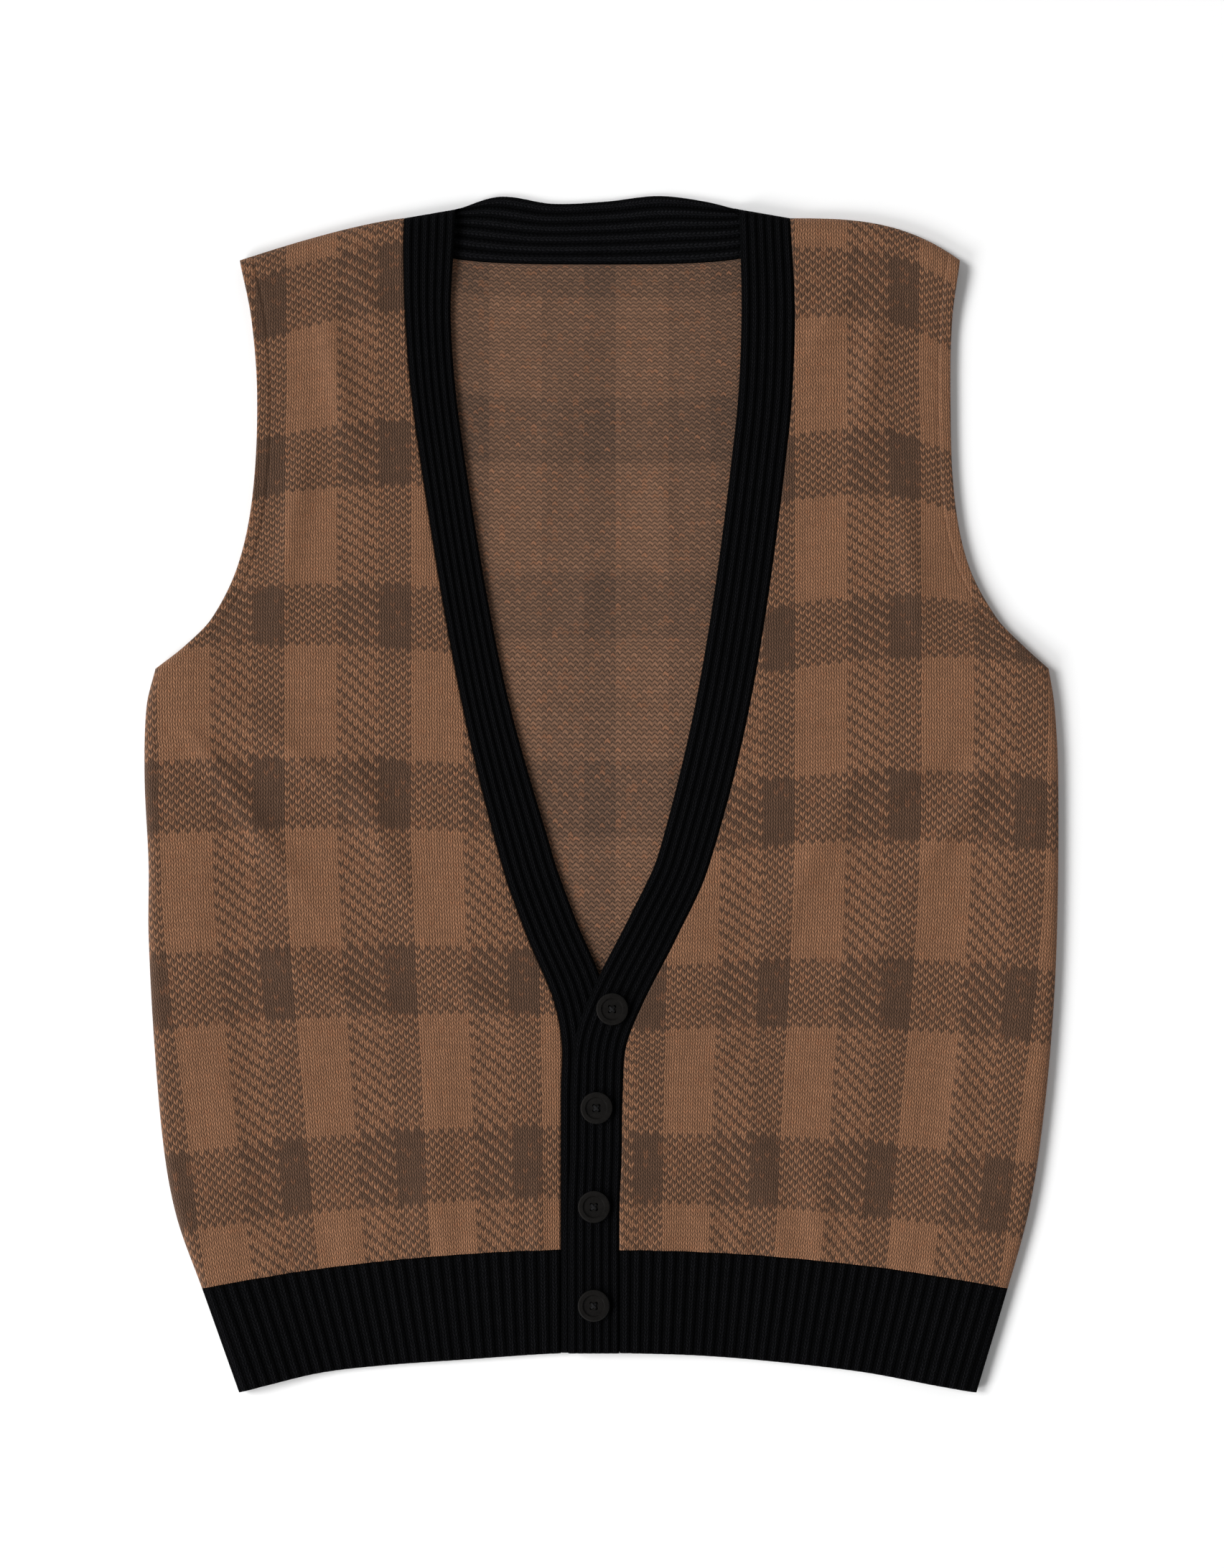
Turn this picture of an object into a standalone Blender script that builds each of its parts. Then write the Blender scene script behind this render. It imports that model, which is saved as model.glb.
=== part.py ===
"""A knitted sweater vest with a buttoned front, laid flat on its back.

+Z is up, +Y runs from the hem to the neck and +X is the wearer's left. The origin is on the floor under the
middle of the vest. Every cloth piece is one wall: an outer grid of points and an inner grid, joined at the rim.
Sizes are in millimetres here and become metres when a mesh is made.
"""

import math
from collections import namedtuple

import bmesh
import bpy

MM = 0.001

# Whole vest, as it lies.
HALF_LENGTH = 340.0
HEM_BOTTOM_MID = -317.5
HEM_SEAM_MID = -259.0
HEM_SAG = 22.0
HEM_SEAM_SIDE_Y = HEM_SEAM_MID - HEM_SAG
ARMPIT_Y = 71.0
SHOULDER_TIP_Y = 303.0
NECK_CENTRE = -2.5
NECK_X = 109.5
NECK_Y = 327.0
NECK_DEPTH = 26.0
NECK_SQUARENESS = 3.4

# Where the left (1) and the right side (-1) differ, as the vest lies a little unevenly.
HEM_CORNER_X = {1: 213.0, -1: 206.0}
HEM_SEAM_X = {1: 230.7, -1: 227.0}
SHOULDER_TIP_X = {1: 203.5, -1: 205.5}
SHOULDER_ROUNDING = {1: 3.0, -1: 1.3}

# Walls and the heights at which they lie.
CLOTH = 2.4
RIB_BASE = 2.2
RIB_RELIEF = 0.8
RIB_WALL = RIB_BASE + RIB_RELIEF
SEAM_GAP = 0.3
LAYER_GAP = 0.6
FOLD_RADIUS = 6.0
SIDE_HEIGHT = 8.6
SHOULDER_HEIGHT = 8.0
SIDE_PUFF_REACH = 62.0
SHOULDER_PUFF_REACH = 45.0
ARMHOLE_OPENING = 26.0
CLOTH_TOP = CLOTH + LAYER_GAP + CLOTH
BAND_FLOOR = RIB_WALL + 0.4
BAND_TOP = BAND_FLOOR + RIB_WALL
OVERLAP_LIFT = RIB_WALL + SEAM_GAP
SIDE_SEAM_Z = SIDE_HEIGHT / 2
SHOULDER_SEAM_Z = SHOULDER_HEIGHT / 2

# Front bands, back neckband and their ribs.
BAND_WIDTH = 29.0
BAND_RIBS = 6
RIB_CREST_START = 0.3
OVERLAP_START_Y = -62.0
OVERLAP_FULL_Y = -94.0
OVERLAP_REACH = 75.0
BAND_END_SLANT = 5.0
BAND_END_REACH = 45.0
NECK_FREE_X = NECK_X - BAND_WIDTH
HEM_RIB_PITCH = 6.2

# Buttons on the front band.
BUTTON_COUNT = 4
BUTTON_TOP_Y = -122.0
BUTTON_SPACING = 56.0
BUTTON_RADIUS = 9.0
BUTTON_THICKNESS = 3.2
BUTTON_DISH_RADIUS = 6.4
BUTTON_DISH_DEPTH = 0.9
BUTTON_EDGE = 0.7
BUTTON_SEGMENTS = 32
BUTTON_HOLES = 4
BUTTON_HOLE_RADIUS = 0.9
BUTTON_HOLE_OFFSET = 2.1
BUTTON_HOLE_SIDES = 6

# How finely the walls are divided.
NECK_STEPS = 20
SLOPE_STEP = 2.0
SHARP_ANGLE = 35.0
FOLD_ANGLES = (90.0, 60.0, 30.0, 0.0)
ROWS_TO_ARMPIT = 12
ROWS_ABOVE_ARMPIT = 10
ARMPIT_SHARE = 0.56
FRONT_COLUMNS = 11
SHOULDER_COLUMNS = 4
SHOULDER_SHARE = 0.25
NECK_COLUMNS = 14
HEM_ROWS = 3
HEM_COLUMNS = 12

# One row of a table: a value at a place along the vest.
Row = namedtuple("Row", "at value")
# A soft fold of the cloth.
Fold = namedtuple("Fold", "x y turn length width height")
# A line of a grid: how far across it lies, its angle round a folded edge, which edge (-1, 0 or 1) and rib height.
Line = namedtuple("Line", "share angle edge relief")

# Half width of the body at each height, from the hem corner to the armpit.
SIDE = {
    1: [
        Row(at=-340.0, value=213.0),
        Row(at=-281.0, value=230.7),
        Row(at=-242.0, value=241.6),
        Row(at=-205.0, value=248.3),
        Row(at=-144.0, value=255.1),
        Row(at=-80.0, value=258.7),
        Row(at=10.0, value=259.4),
        Row(at=50.0, value=257.3),
        Row(at=71.0, value=254.0),
    ],
    -1: [
        Row(at=-340.0, value=206.0),
        Row(at=-281.0, value=227.0),
        Row(at=-242.0, value=241.0),
        Row(at=-205.0, value=248.3),
        Row(at=-144.0, value=254.0),
        Row(at=-80.0, value=257.4),
        Row(at=-40.0, value=257.4),
        Row(at=10.0, value=259.7),
        Row(at=50.0, value=258.5),
        Row(at=71.0, value=253.5),
    ],
}

# Half width of the body at each height, from the armpit to the shoulder tip.
ARMHOLE = {
    1: [
        Row(at=71.0, value=254.0),
        Row(at=84.0, value=239.5),
        Row(at=100.0, value=224.3),
        Row(at=130.0, value=208.4),
        Row(at=170.0, value=200.3),
        Row(at=225.0, value=198.2),
        Row(at=270.0, value=199.2),
        Row(at=303.0, value=203.5),
    ],
    -1: [
        Row(at=71.0, value=253.5),
        Row(at=84.0, value=236.7),
        Row(at=100.0, value=221.3),
        Row(at=130.0, value=206.6),
        Row(at=170.0, value=198.3),
        Row(at=225.0, value=195.7),
        Row(at=270.0, value=199.0),
        Row(at=303.0, value=205.5),
    ],
}

# Centre line of each front band: x at each height, from the hem to the shoulder.
BAND_LINE = {
    1: [
        Row(at=-317.5, value=-4.4),
        Row(at=-235.0, value=-4.4),
        Row(at=-205.0, value=-3.3),
        Row(at=-170.0, value=-2.7),
        Row(at=-140.0, value=-0.4),
        Row(at=-112.0, value=10.5),
        Row(at=-76.0, value=29.0),
        Row(at=-38.0, value=46.4),
        Row(at=64.0, value=71.2),
        Row(at=206.0, value=91.0),
        Row(at=270.0, value=94.5),
        Row(at=327.0, value=92.5),
    ],
    -1: [
        Row(at=-317.5, value=-8.5),
        Row(at=-235.0, value=-8.5),
        Row(at=-170.0, value=-8.3),
        Row(at=-140.0, value=-8.0),
        Row(at=-112.0, value=-13.5),
        Row(at=-76.0, value=-28.5),
        Row(at=-38.0, value=-42.0),
        Row(at=64.0, value=-68.6),
        Row(at=206.0, value=-92.6),
        Row(at=270.0, value=-98.5),
        Row(at=327.0, value=-97.5),
    ],
}

# How much wider than its usual width each front band lies at each height: knitting spreads or draws in.
BAND_SPREAD = {
    1: [
        Row(at=-50.0, value=0.0),
        Row(at=20.0, value=1.2),
        Row(at=265.0, value=1.2),
        Row(at=315.0, value=0.0),
    ],
    -1: [
        Row(at=-30.0, value=0.0),
        Row(at=80.0, value=-3.6),
        Row(at=265.0, value=-3.6),
        Row(at=315.0, value=0.0),
    ],
}

# Lower edge of the hem: y at each x.
HEM_BOTTOM = [
    Row(at=-206.0, value=-340.0),
    Row(at=-190.0, value=-335.8),
    Row(at=-160.0, value=-328.9),
    Row(at=-125.0, value=-324.8),
    Row(at=-85.0, value=-321.9),
    Row(at=-15.0, value=-317.5),
    Row(at=40.0, value=-318.2),
    Row(at=86.0, value=-321.4),
    Row(at=145.0, value=-328.0),
    Row(at=190.0, value=-336.0),
    Row(at=213.0, value=-340.0),
]

# Free top edge of the back neckband: y at each x.
NECK_TOP = [
    Row(at=-83.0, value=332.0),
    Row(at=-58.0, value=339.6),
    Row(at=-28.0, value=335.6),
    Row(at=2.0, value=336.8),
    Row(at=32.0, value=340.0),
    Row(at=58.0, value=337.0),
    Row(at=78.0, value=332.0),
]

# The largest soft folds of the fronts, as low ridges. Turn is in degrees from +X.
FOLDS = [
    Fold(x=196.0, y=38.0, turn=28.0, length=74.0, width=15.0, height=1.9),
    Fold(x=158.0, y=-120.0, turn=78.0, length=96.0, width=19.0, height=1.5),
    Fold(x=84.0, y=-196.0, turn=103.0, length=58.0, width=14.0, height=1.3),
    Fold(x=150.0, y=206.0, turn=84.0, length=66.0, width=13.0, height=1.2),
    Fold(x=-188.0, y=30.0, turn=149.0, length=82.0, width=16.0, height=2.0),
    Fold(x=-176.0, y=-96.0, turn=96.0, length=88.0, width=17.0, height=1.6),
    Fold(x=-98.0, y=-176.0, turn=74.0, length=62.0, width=15.0, height=1.2),
    Fold(x=-146.0, y=222.0, turn=99.0, length=58.0, width=12.0, height=1.3),
]


def mix(a, b, share):
    return a + (b - a) * share


def between(start, end, share):
    return tuple(mix(a, b, share) for a, b in zip(start, end))


def even(count):
    return [k / count for k in range(count + 1)]


def ease(share):
    """0 to 1 with no kink at either end."""
    share = min(1.0, max(0.0, share))
    return share * share * (3.0 - 2.0 * share)


def through(table, at):
    """A smooth curve through the rows of a table, held level past its ends."""
    if at <= table[0].at:
        return table[0].value
    if at >= table[-1].at:
        return table[-1].value
    k = max(i for i, row in enumerate(table[:-1]) if row.at <= at)

    def slope(i):
        before, after = table[max(i - 1, 0)], table[min(i + 1, len(table) - 1)]
        return (after.value - before.value) / (after.at - before.at)

    low, high = table[k], table[k + 1]
    span = high.at - low.at
    u = (at - low.at) / span
    return (
        low.value * (1 + 2 * u) * (1 - u) ** 2
        + slope(k) * span * u * (1 - u) ** 2
        + high.value * u * u * (3 - 2 * u)
        + slope(k + 1) * span * u * u * (u - 1)
    )


def side_of(x):
    return -1 if x < 0 else 1


def half_width(x, y):
    """How far the outline is from the middle, on the side and at the height of a point."""
    return through((SIDE if y < ARMPIT_Y else ARMHOLE)[side_of(x)], y)


def hem_bottom_y(x):
    return through(HEM_BOTTOM, x)


def hem_seam_y(x):
    return HEM_SEAM_MID - HEM_SAG * (x / HEM_SEAM_X[side_of(x)]) ** 2


def shoulder_y(x):
    side = side_of(x)
    neck_x = NECK_X + side * NECK_CENTRE
    share = max(0.0, (abs(x) - neck_x) / (SHOULDER_TIP_X[side] - neck_x))
    return NECK_Y - (NECK_Y - SHOULDER_TIP_Y) * share ** SHOULDER_ROUNDING[side]


def body_edge(t, side):
    """The outline from the hem seam (0) past the armpit to the shoulder tip (1)."""
    if t < ARMPIT_SHARE:
        y = mix(HEM_SEAM_SIDE_Y + SEAM_GAP, ARMPIT_Y, t / ARMPIT_SHARE)
        return side * through(SIDE[side], y), y
    y = mix(ARMPIT_Y, SHOULDER_TIP_Y, (t - ARMPIT_SHARE) / (1.0 - ARMPIT_SHARE))
    return side * through(ARMHOLE[side], y), y


def hem_edge(t, side):
    y = mix(-HALF_LENGTH, HEM_SEAM_SIDE_Y, t)
    return side * through(SIDE[side], y), y


def neck_corners(gap):
    """Evenly spaced corners of the back neck seam, from the wearer's right to the left, moved off it by a gap."""
    power = 2.0 / NECK_SQUARENESS
    fine = []
    for share in even(NECK_COLUMNS * NECK_STEPS):
        turn = math.pi * (1.0 - share)
        across = math.copysign(abs(math.cos(turn)) ** power, math.cos(turn))
        down = max(0.0, math.sin(turn)) ** power
        fine.append((NECK_CENTRE + (NECK_X + gap) * across, NECK_Y - (NECK_DEPTH + gap) * down))
    run = [0.0]
    for start, end in zip(fine, fine[1:]):
        run.append(run[-1] + math.dist(start, end))
    corners = []
    for share in even(NECK_COLUMNS):
        k = max(i for i, length in enumerate(run[:-1]) if length <= share * run[-1])
        corners.append(between(fine[k], fine[k + 1], (share * run[-1] - run[k]) / (run[k + 1] - run[k])))
    return corners


def neck_seam(corners, share):
    """A point on the back neck seam, which is straight between its corners."""
    k = min(int(share * NECK_COLUMNS), NECK_COLUMNS - 1)
    return between(corners[k], corners[k + 1], share * NECK_COLUMNS - k)


def band_point(side, y, offset):
    """A point beside a front band's centre line, offset square to it. The band's top end is cut on a slant."""
    line = BAND_LINE[side]
    slope = (through(line, y + SLOPE_STEP) - through(line, y - SLOPE_STEP)) / (2 * SLOPE_STEP)
    length = math.hypot(1.0, slope)
    near_end = ease((y - (NECK_Y - BAND_END_REACH)) / BAND_END_REACH)
    slant = BAND_END_SLANT * (0.5 - side * offset / BAND_WIDTH)
    offset += through(BAND_SPREAD[side], y) * max(-0.5, min(0.5, offset / BAND_WIDTH))
    return through(line, y) + offset / length, y + mix(-offset * slope / length, slant, near_end)


def coons(bottom, top, start, end):
    """A patch over four edges. Bottom and top take s, start and end take t, and each gives (x, y)."""

    def point(s, t):
        across = between(start(t), end(t), s)
        along = between(bottom(s), top(s), t)
        corners = between(between(bottom(0.0), bottom(1.0), s), between(top(0.0), top(1.0), s), t)
        return tuple(a + b - c for a, b, c in zip(across, along, corners))

    return point


def ridge_height(x, y):
    """How far the soft folds raise the fronts here."""
    total = 0.0
    for fold in FOLDS:
        turn = math.radians(fold.turn)
        along = (x - fold.x) * math.cos(turn) + (y - fold.y) * math.sin(turn)
        across = (y - fold.y) * math.cos(turn) - (x - fold.x) * math.sin(turn)
        total += fold.height * math.exp(-((along / fold.length) ** 2) - (across / fold.width) ** 2)
    return total


def side_closed(y):
    """1 where the side seam joins front and back, falling to 0 up the open armhole."""
    return 1.0 - ease((y - ARMPIT_Y) / ARMHOLE_OPENING)


def overlap_lift(x, y, side):
    """How far the wearer's left front lies above the right one, from below the V and easing off to the side."""
    if side < 0:
        return 0.0
    seam_x = through(BAND_LINE[side], y) + BAND_WIDTH / 2
    below = ease((y - OVERLAP_START_Y) / (OVERLAP_FULL_Y - OVERLAP_START_Y))
    return OVERLAP_LIFT * below * (1.0 - ease((x - seam_x) / OVERLAP_REACH))


def puffed(flat, x, y):
    """Height of a top face: flat in the middle, fuller beside the side folds and the shoulder folds."""
    beside = side_closed(y) * (1.0 - ease((half_width(x, y) - abs(x) - FOLD_RADIUS) / SIDE_PUFF_REACH))
    above = 1.0 - ease((shoulder_y(x) - y - FOLD_RADIUS) / SHOULDER_PUFF_REACH)
    return max(mix(flat, SIDE_HEIGHT, beside), mix(flat, SHOULDER_HEIGHT, above))


def lines(marks, fold_start=False, fold_end=False):
    """Lines of a grid: one at each mark, and a set of them round each folded edge."""
    found = [Line(share=mark, angle=90.0, edge=0, relief=0.0) for mark in marks]
    if fold_end:
        found[-1:] = [Line(share=1.0, angle=angle, edge=1, relief=0.0) for angle in FOLD_ANGLES]
    if fold_start:
        found[:1] = [Line(share=0.0, angle=angle, edge=-1, relief=0.0) for angle in reversed(FOLD_ANGLES)]
    return found


def ribbed(ribs, last=1.0):
    """Lines over ribs with flat crests: a valley at each side of a rib and two lines on its crest."""
    found = []
    for k in range(ribs):
        for part, relief in ((0.0, 0.0), (RIB_CREST_START, RIB_RELIEF), (1.0 - RIB_CREST_START, RIB_RELIEF)):
            found.append(Line(share=(k + part) / ribs * last, angle=90.0, edge=0, relief=relief))
    return found + [Line(share=last, angle=90.0, edge=0, relief=0.0)]


def share_at(line, length, radius, depth):
    """Where a line lies from 0 to 1, if its folded edge has this radius and starts this far in."""
    inset = (radius * (1.0 - math.cos(math.radians(line.angle))) + depth) / length
    return {0: line.share, 1: 1.0 - inset, -1: inset}[line.edge]


def face_points(patch, columns, rows, depth, facing, height, closed):
    """Points of one face of a wall, depth inside its outer face, bent round its folded edges to the seams.

    Facing is 1 if the outer face looks up and -1 if it lies on the floor. Closed tells how far the side fold and
    the shoulder fold are closed at a point.
    """
    grid = []
    for row in rows:
        points = []
        for column in columns:
            width = math.dist(patch(0.0, row.share), patch(1.0, row.share))
            length = math.dist(patch(column.share, 0.0), patch(column.share, 1.0))
            side, shoulder = closed(*patch(column.share, row.share), column.share)
            s = share_at(column, width, FOLD_RADIUS - depth, depth * side)
            t = share_at(row, length, FOLD_RADIUS - depth, depth * shoulder)
            x, y = patch(s, t)
            z = height(x, y) - facing * depth + column.relief
            for line, share, seam in ((column, side, SIDE_SEAM_Z), (row, shoulder, SHOULDER_SEAM_Z)):
                bend = 1.0 - math.sin(math.radians(line.angle))
                z = mix(z, seam + facing * SEAM_GAP / 2, bend * share)
            points.append((x, y, z))
        grid.append(points)
    return grid


def new_object(name, bm, material):
    """An object from closed geometry in millimetres, shaded smooth but for its sharp edges."""
    bmesh.ops.recalc_face_normals(bm, faces=bm.faces[:])
    bmesh.ops.scale(bm, vec=(MM, MM, MM), verts=bm.verts[:])
    mesh = bpy.data.meshes.new(name)
    bm.to_mesh(mesh)
    bm.free()
    mesh.shade_smooth()
    mesh.set_sharp_from_angle(angle=math.radians(SHARP_ANGLE))
    mesh.materials.append(material)
    obj = bpy.data.objects.new(name, mesh)
    bpy.context.scene.collection.objects.link(obj)
    return obj


def zip_rows(bm, first, second):
    """Triangles between two rows of points that may differ in number."""
    i, j = 0, 0
    while i < len(first) - 1 or j < len(second) - 1:
        next_first = (i + 1) / max(1, len(first) - 1)
        next_second = (j + 1) / max(1, len(second) - 1)
        if j == len(second) - 1 or (i < len(first) - 1 and next_first <= next_second):
            bm.faces.new((first[i], first[i + 1], second[j]))
            i += 1
        else:
            bm.faces.new((first[i], second[j + 1], second[j]))
            j += 1


def add_wall(name, outer, inner, material):
    """A closed wall between an outer and an inner grid, which have the same number of rows."""
    bm = bmesh.new()
    out, ins = ([[bm.verts.new(point) for point in row] for row in grid] for grid in (outer, inner))
    for grid in (out, ins):
        for low, high in zip(grid, grid[1:]):
            for k in range(len(low) - 1):
                bm.faces.new((low[k], low[k + 1], high[k + 1], high[k]))
    for end in (0, -1):
        zip_rows(bm, out[end], ins[end])
        for i in range(len(out) - 1):
            bm.faces.new((out[i][end], out[i + 1][end], ins[i + 1][end], ins[i][end]))
    return new_object(name, bm, material)


def panel_marks():
    """Even marks from the hem seam to the armpit and from there to the shoulder, with one on the armpit."""
    below = [ARMPIT_SHARE * mark for mark in even(ROWS_TO_ARMPIT)]
    return below + [mix(ARMPIT_SHARE, 1.0, mark) for mark in even(ROWS_ABOVE_ARMPIT)[1:]]


def front_panel(name, side, material):
    """A front, from its band's seam to the side seam and the armhole."""
    offset = side * (BAND_WIDTH / 2 + SEAM_GAP)
    seam_x = BAND_LINE[side][0].value + offset

    def bottom(s):
        x = mix(seam_x, side * HEM_SEAM_X[side], s)
        return x, hem_seam_y(x) + SEAM_GAP

    def top(s):
        x = mix(NECK_CENTRE + side * (NECK_X + SEAM_GAP), side * SHOULDER_TIP_X[side], s)
        return x, shoulder_y(x)

    def height(x, y):
        return puffed(CLOTH_TOP + ridge_height(x, y) + overlap_lift(x, y, side), x, y)

    patch = coons(
        bottom,
        top,
        lambda t: band_point(side, mix(bottom(0.0)[1], NECK_Y, t), offset),
        lambda t: body_edge(t, side),
    )
    columns = lines(even(FRONT_COLUMNS), fold_end=True)
    rows = lines(panel_marks(), fold_end=True)
    faces = [
        face_points(patch, columns, rows, depth, 1, height, lambda _x, y, _s: (side_closed(y), 1.0))
        for depth in (0.0, CLOTH)
    ]
    return add_wall(name, *faces, material)


def back_panel(name, material):
    """The back, lying on the floor, up to the shoulders and the back neck seam."""
    corners = neck_corners(SEAM_GAP)

    def bottom(s):
        x = mix(-HEM_SEAM_X[-1], HEM_SEAM_X[1], s)
        return x, hem_seam_y(x) + SEAM_GAP

    def top(s):
        if SHOULDER_SHARE < s < 1.0 - SHOULDER_SHARE:
            return neck_seam(corners, (s - SHOULDER_SHARE) / (1.0 - 2 * SHOULDER_SHARE))
        side = -1 if s <= SHOULDER_SHARE else 1
        neck_x = NECK_CENTRE + side * (NECK_X + SEAM_GAP)
        x = mix(side * SHOULDER_TIP_X[side], neck_x, min(s, 1.0 - s) / SHOULDER_SHARE)
        return x, shoulder_y(x)

    def closed(_x, y, s):
        past_shoulder = max(0.0, min(s, 1.0 - s) - SHOULDER_SHARE)
        return side_closed(y), max(0.0, 1.0 - past_shoulder * NECK_COLUMNS / (1.0 - 2 * SHOULDER_SHARE))

    shoulder = [SHOULDER_SHARE * mark for mark in even(SHOULDER_COLUMNS)[:-1]]
    neck = [mix(SHOULDER_SHARE, 1.0 - SHOULDER_SHARE, mark) for mark in even(NECK_COLUMNS)]
    patch = coons(bottom, top, lambda t: body_edge(t, -1), lambda t: body_edge(t, 1))
    columns = lines(shoulder + neck + [1.0 - mark for mark in reversed(shoulder)], True, True)
    rows = lines(panel_marks(), fold_end=True)
    faces = [
        face_points(patch, columns, rows, depth, -1, lambda _x, _y: 0.0, closed) for depth in (0.0, CLOTH)
    ]
    return add_wall(name, *faces, material)


def hem_patch(bottom_x, seam_x, side, start, end):
    """The patch of a hem piece, from an inner end at bottom_x and seam_x to a side of the vest."""

    def bottom(s):
        x = mix(bottom_x, side * HEM_CORNER_X[side], s)
        return x, hem_bottom_y(x)

    def top(s):
        x = mix(seam_x, side * HEM_SEAM_X[side], s)
        return x, hem_seam_y(x)

    return coons(bottom, top, start, end)


def front_hem(name, side, material):
    """The ribbed hem under a front: ribs stand on its outer face, over a plain inside."""
    inner_x = BAND_LINE[side][0].value + side * (BAND_WIDTH / 2 + SEAM_GAP)

    def height(x, y):
        return puffed(BAND_TOP - RIB_RELIEF + overlap_lift(x, y, side), x, y)

    patch = hem_patch(
        inner_x,
        inner_x,
        side,
        lambda t: (inner_x, mix(hem_bottom_y(inner_x), hem_seam_y(inner_x), t)),
        lambda t: hem_edge(t, side),
    )
    width = HEM_CORNER_X[side] - abs(inner_x)
    ribs = ribbed(round(width / HEM_RIB_PITCH), 1.0 - FOLD_RADIUS / width)
    columns = (ribs + lines((0.0, 1.0), fold_end=True)[2:], lines(even(HEM_COLUMNS), fold_end=True))
    faces = [
        face_points(patch, columns[k], lines(even(HEM_ROWS)), depth, 1, height, lambda _x, _y, _s: (1.0, 0.0))
        for k, depth in enumerate((0.0, RIB_BASE))
    ]
    return add_wall(name, *faces, material)


def back_hem(name, material):
    """The hem under the back, flat on the floor and folding up at both sides."""
    patch = hem_patch(-HEM_CORNER_X[-1], -HEM_SEAM_X[-1], 1, lambda t: hem_edge(t, -1), lambda t: hem_edge(t, 1))
    columns = lines(even(2 * HEM_COLUMNS), True, True)
    faces = [
        face_points(
            patch, columns, lines(even(HEM_ROWS)), depth, -1, lambda _x, _y: 0.0, lambda _x, _y, _s: (1.0, 0.0)
        )
        for depth in (0.0, RIB_WALL)
    ]
    return add_wall(name, *faces, material)


def front_band(name, side, material):
    """A ribbed band from the hem's edge, up beside the V, to the fold of the shoulder."""
    length = NECK_Y - HEM_BOTTOM_MID
    inner_x = BAND_LINE[side][0].value + side * (BAND_WIDTH / 2 + SEAM_GAP)
    seam_share = (hem_seam_y(inner_x) + SEAM_GAP - HEM_BOTTOM_MID) / length
    below = [seam_share * mark for mark in even(HEM_ROWS)[:-1]]
    marks = below + [mix(seam_share, 1.0, mark) for mark in panel_marks()]

    def patch(s, t):
        return band_point(side, mix(HEM_BOTTOM_MID, NECK_Y, t), (s - 0.5) * BAND_WIDTH)

    def height(x, y):
        return puffed(BAND_TOP - RIB_RELIEF + overlap_lift(x, y, side), x, y)

    columns = (ribbed(BAND_RIBS), lines((0.0, 1.0)))
    faces = [
        face_points(
            patch, columns[k], lines(marks, fold_end=True), depth, 1, height, lambda _x, _y, _s: (0.0, 1.0)
        )
        for k, depth in enumerate((0.0, RIB_BASE))
    ]
    return add_wall(name, *faces, material)


def back_neckband(name, material):
    """The band along the back neck, its ribbed face up, its ends folding up to meet the front bands."""
    corners = neck_corners(0.0)

    def free_edge(share):
        x = NECK_CENTRE + mix(-NECK_FREE_X, NECK_FREE_X, share)
        return x, through(NECK_TOP, x)

    def fold_line(side):
        seam_end = (NECK_CENTRE + side * NECK_X, NECK_Y)
        free_end = (NECK_CENTRE + side * NECK_FREE_X, NECK_TOP[0].value)
        return lambda share: between(seam_end, free_end, share)

    patch = coons(lambda share: neck_seam(corners, share), free_edge, fold_line(-1), fold_line(1))
    columns = (lines((0.0, 1.0)), ribbed(BAND_RIBS))
    faces = [
        face_points(
            lambda s, t: patch(t, s),
            columns[k],
            lines(even(NECK_COLUMNS), True, True),
            depth,
            -1,
            lambda _x, _y: 0.0,
            lambda _x, _y, _s: (0.0, 1.0),
        )
        for k, depth in enumerate((0.0, RIB_BASE))
    ]
    return add_wall(name, *faces, material)


def hole_cutter(x, y, z):
    """A prism for one sewing hole, left out of the render."""
    bm = bmesh.new()
    bmesh.ops.create_cone(
        bm,
        cap_ends=True,
        segments=BUTTON_HOLE_SIDES,
        radius1=BUTTON_HOLE_RADIUS,
        radius2=BUTTON_HOLE_RADIUS,
        depth=4 * BUTTON_THICKNESS,
    )
    mesh = bpy.data.meshes.new("sewing_hole")
    bmesh.ops.scale(bm, vec=(MM, MM, MM), verts=bm.verts[:])
    bm.to_mesh(mesh)
    bm.free()
    cutter = bpy.data.objects.new("sewing_hole", mesh)
    bpy.context.scene.collection.objects.link(cutter)
    cutter.location = (x * MM, y * MM, z * MM)
    cutter.hide_render = True
    cutter.display_type = "WIRE"
    return cutter


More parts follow.
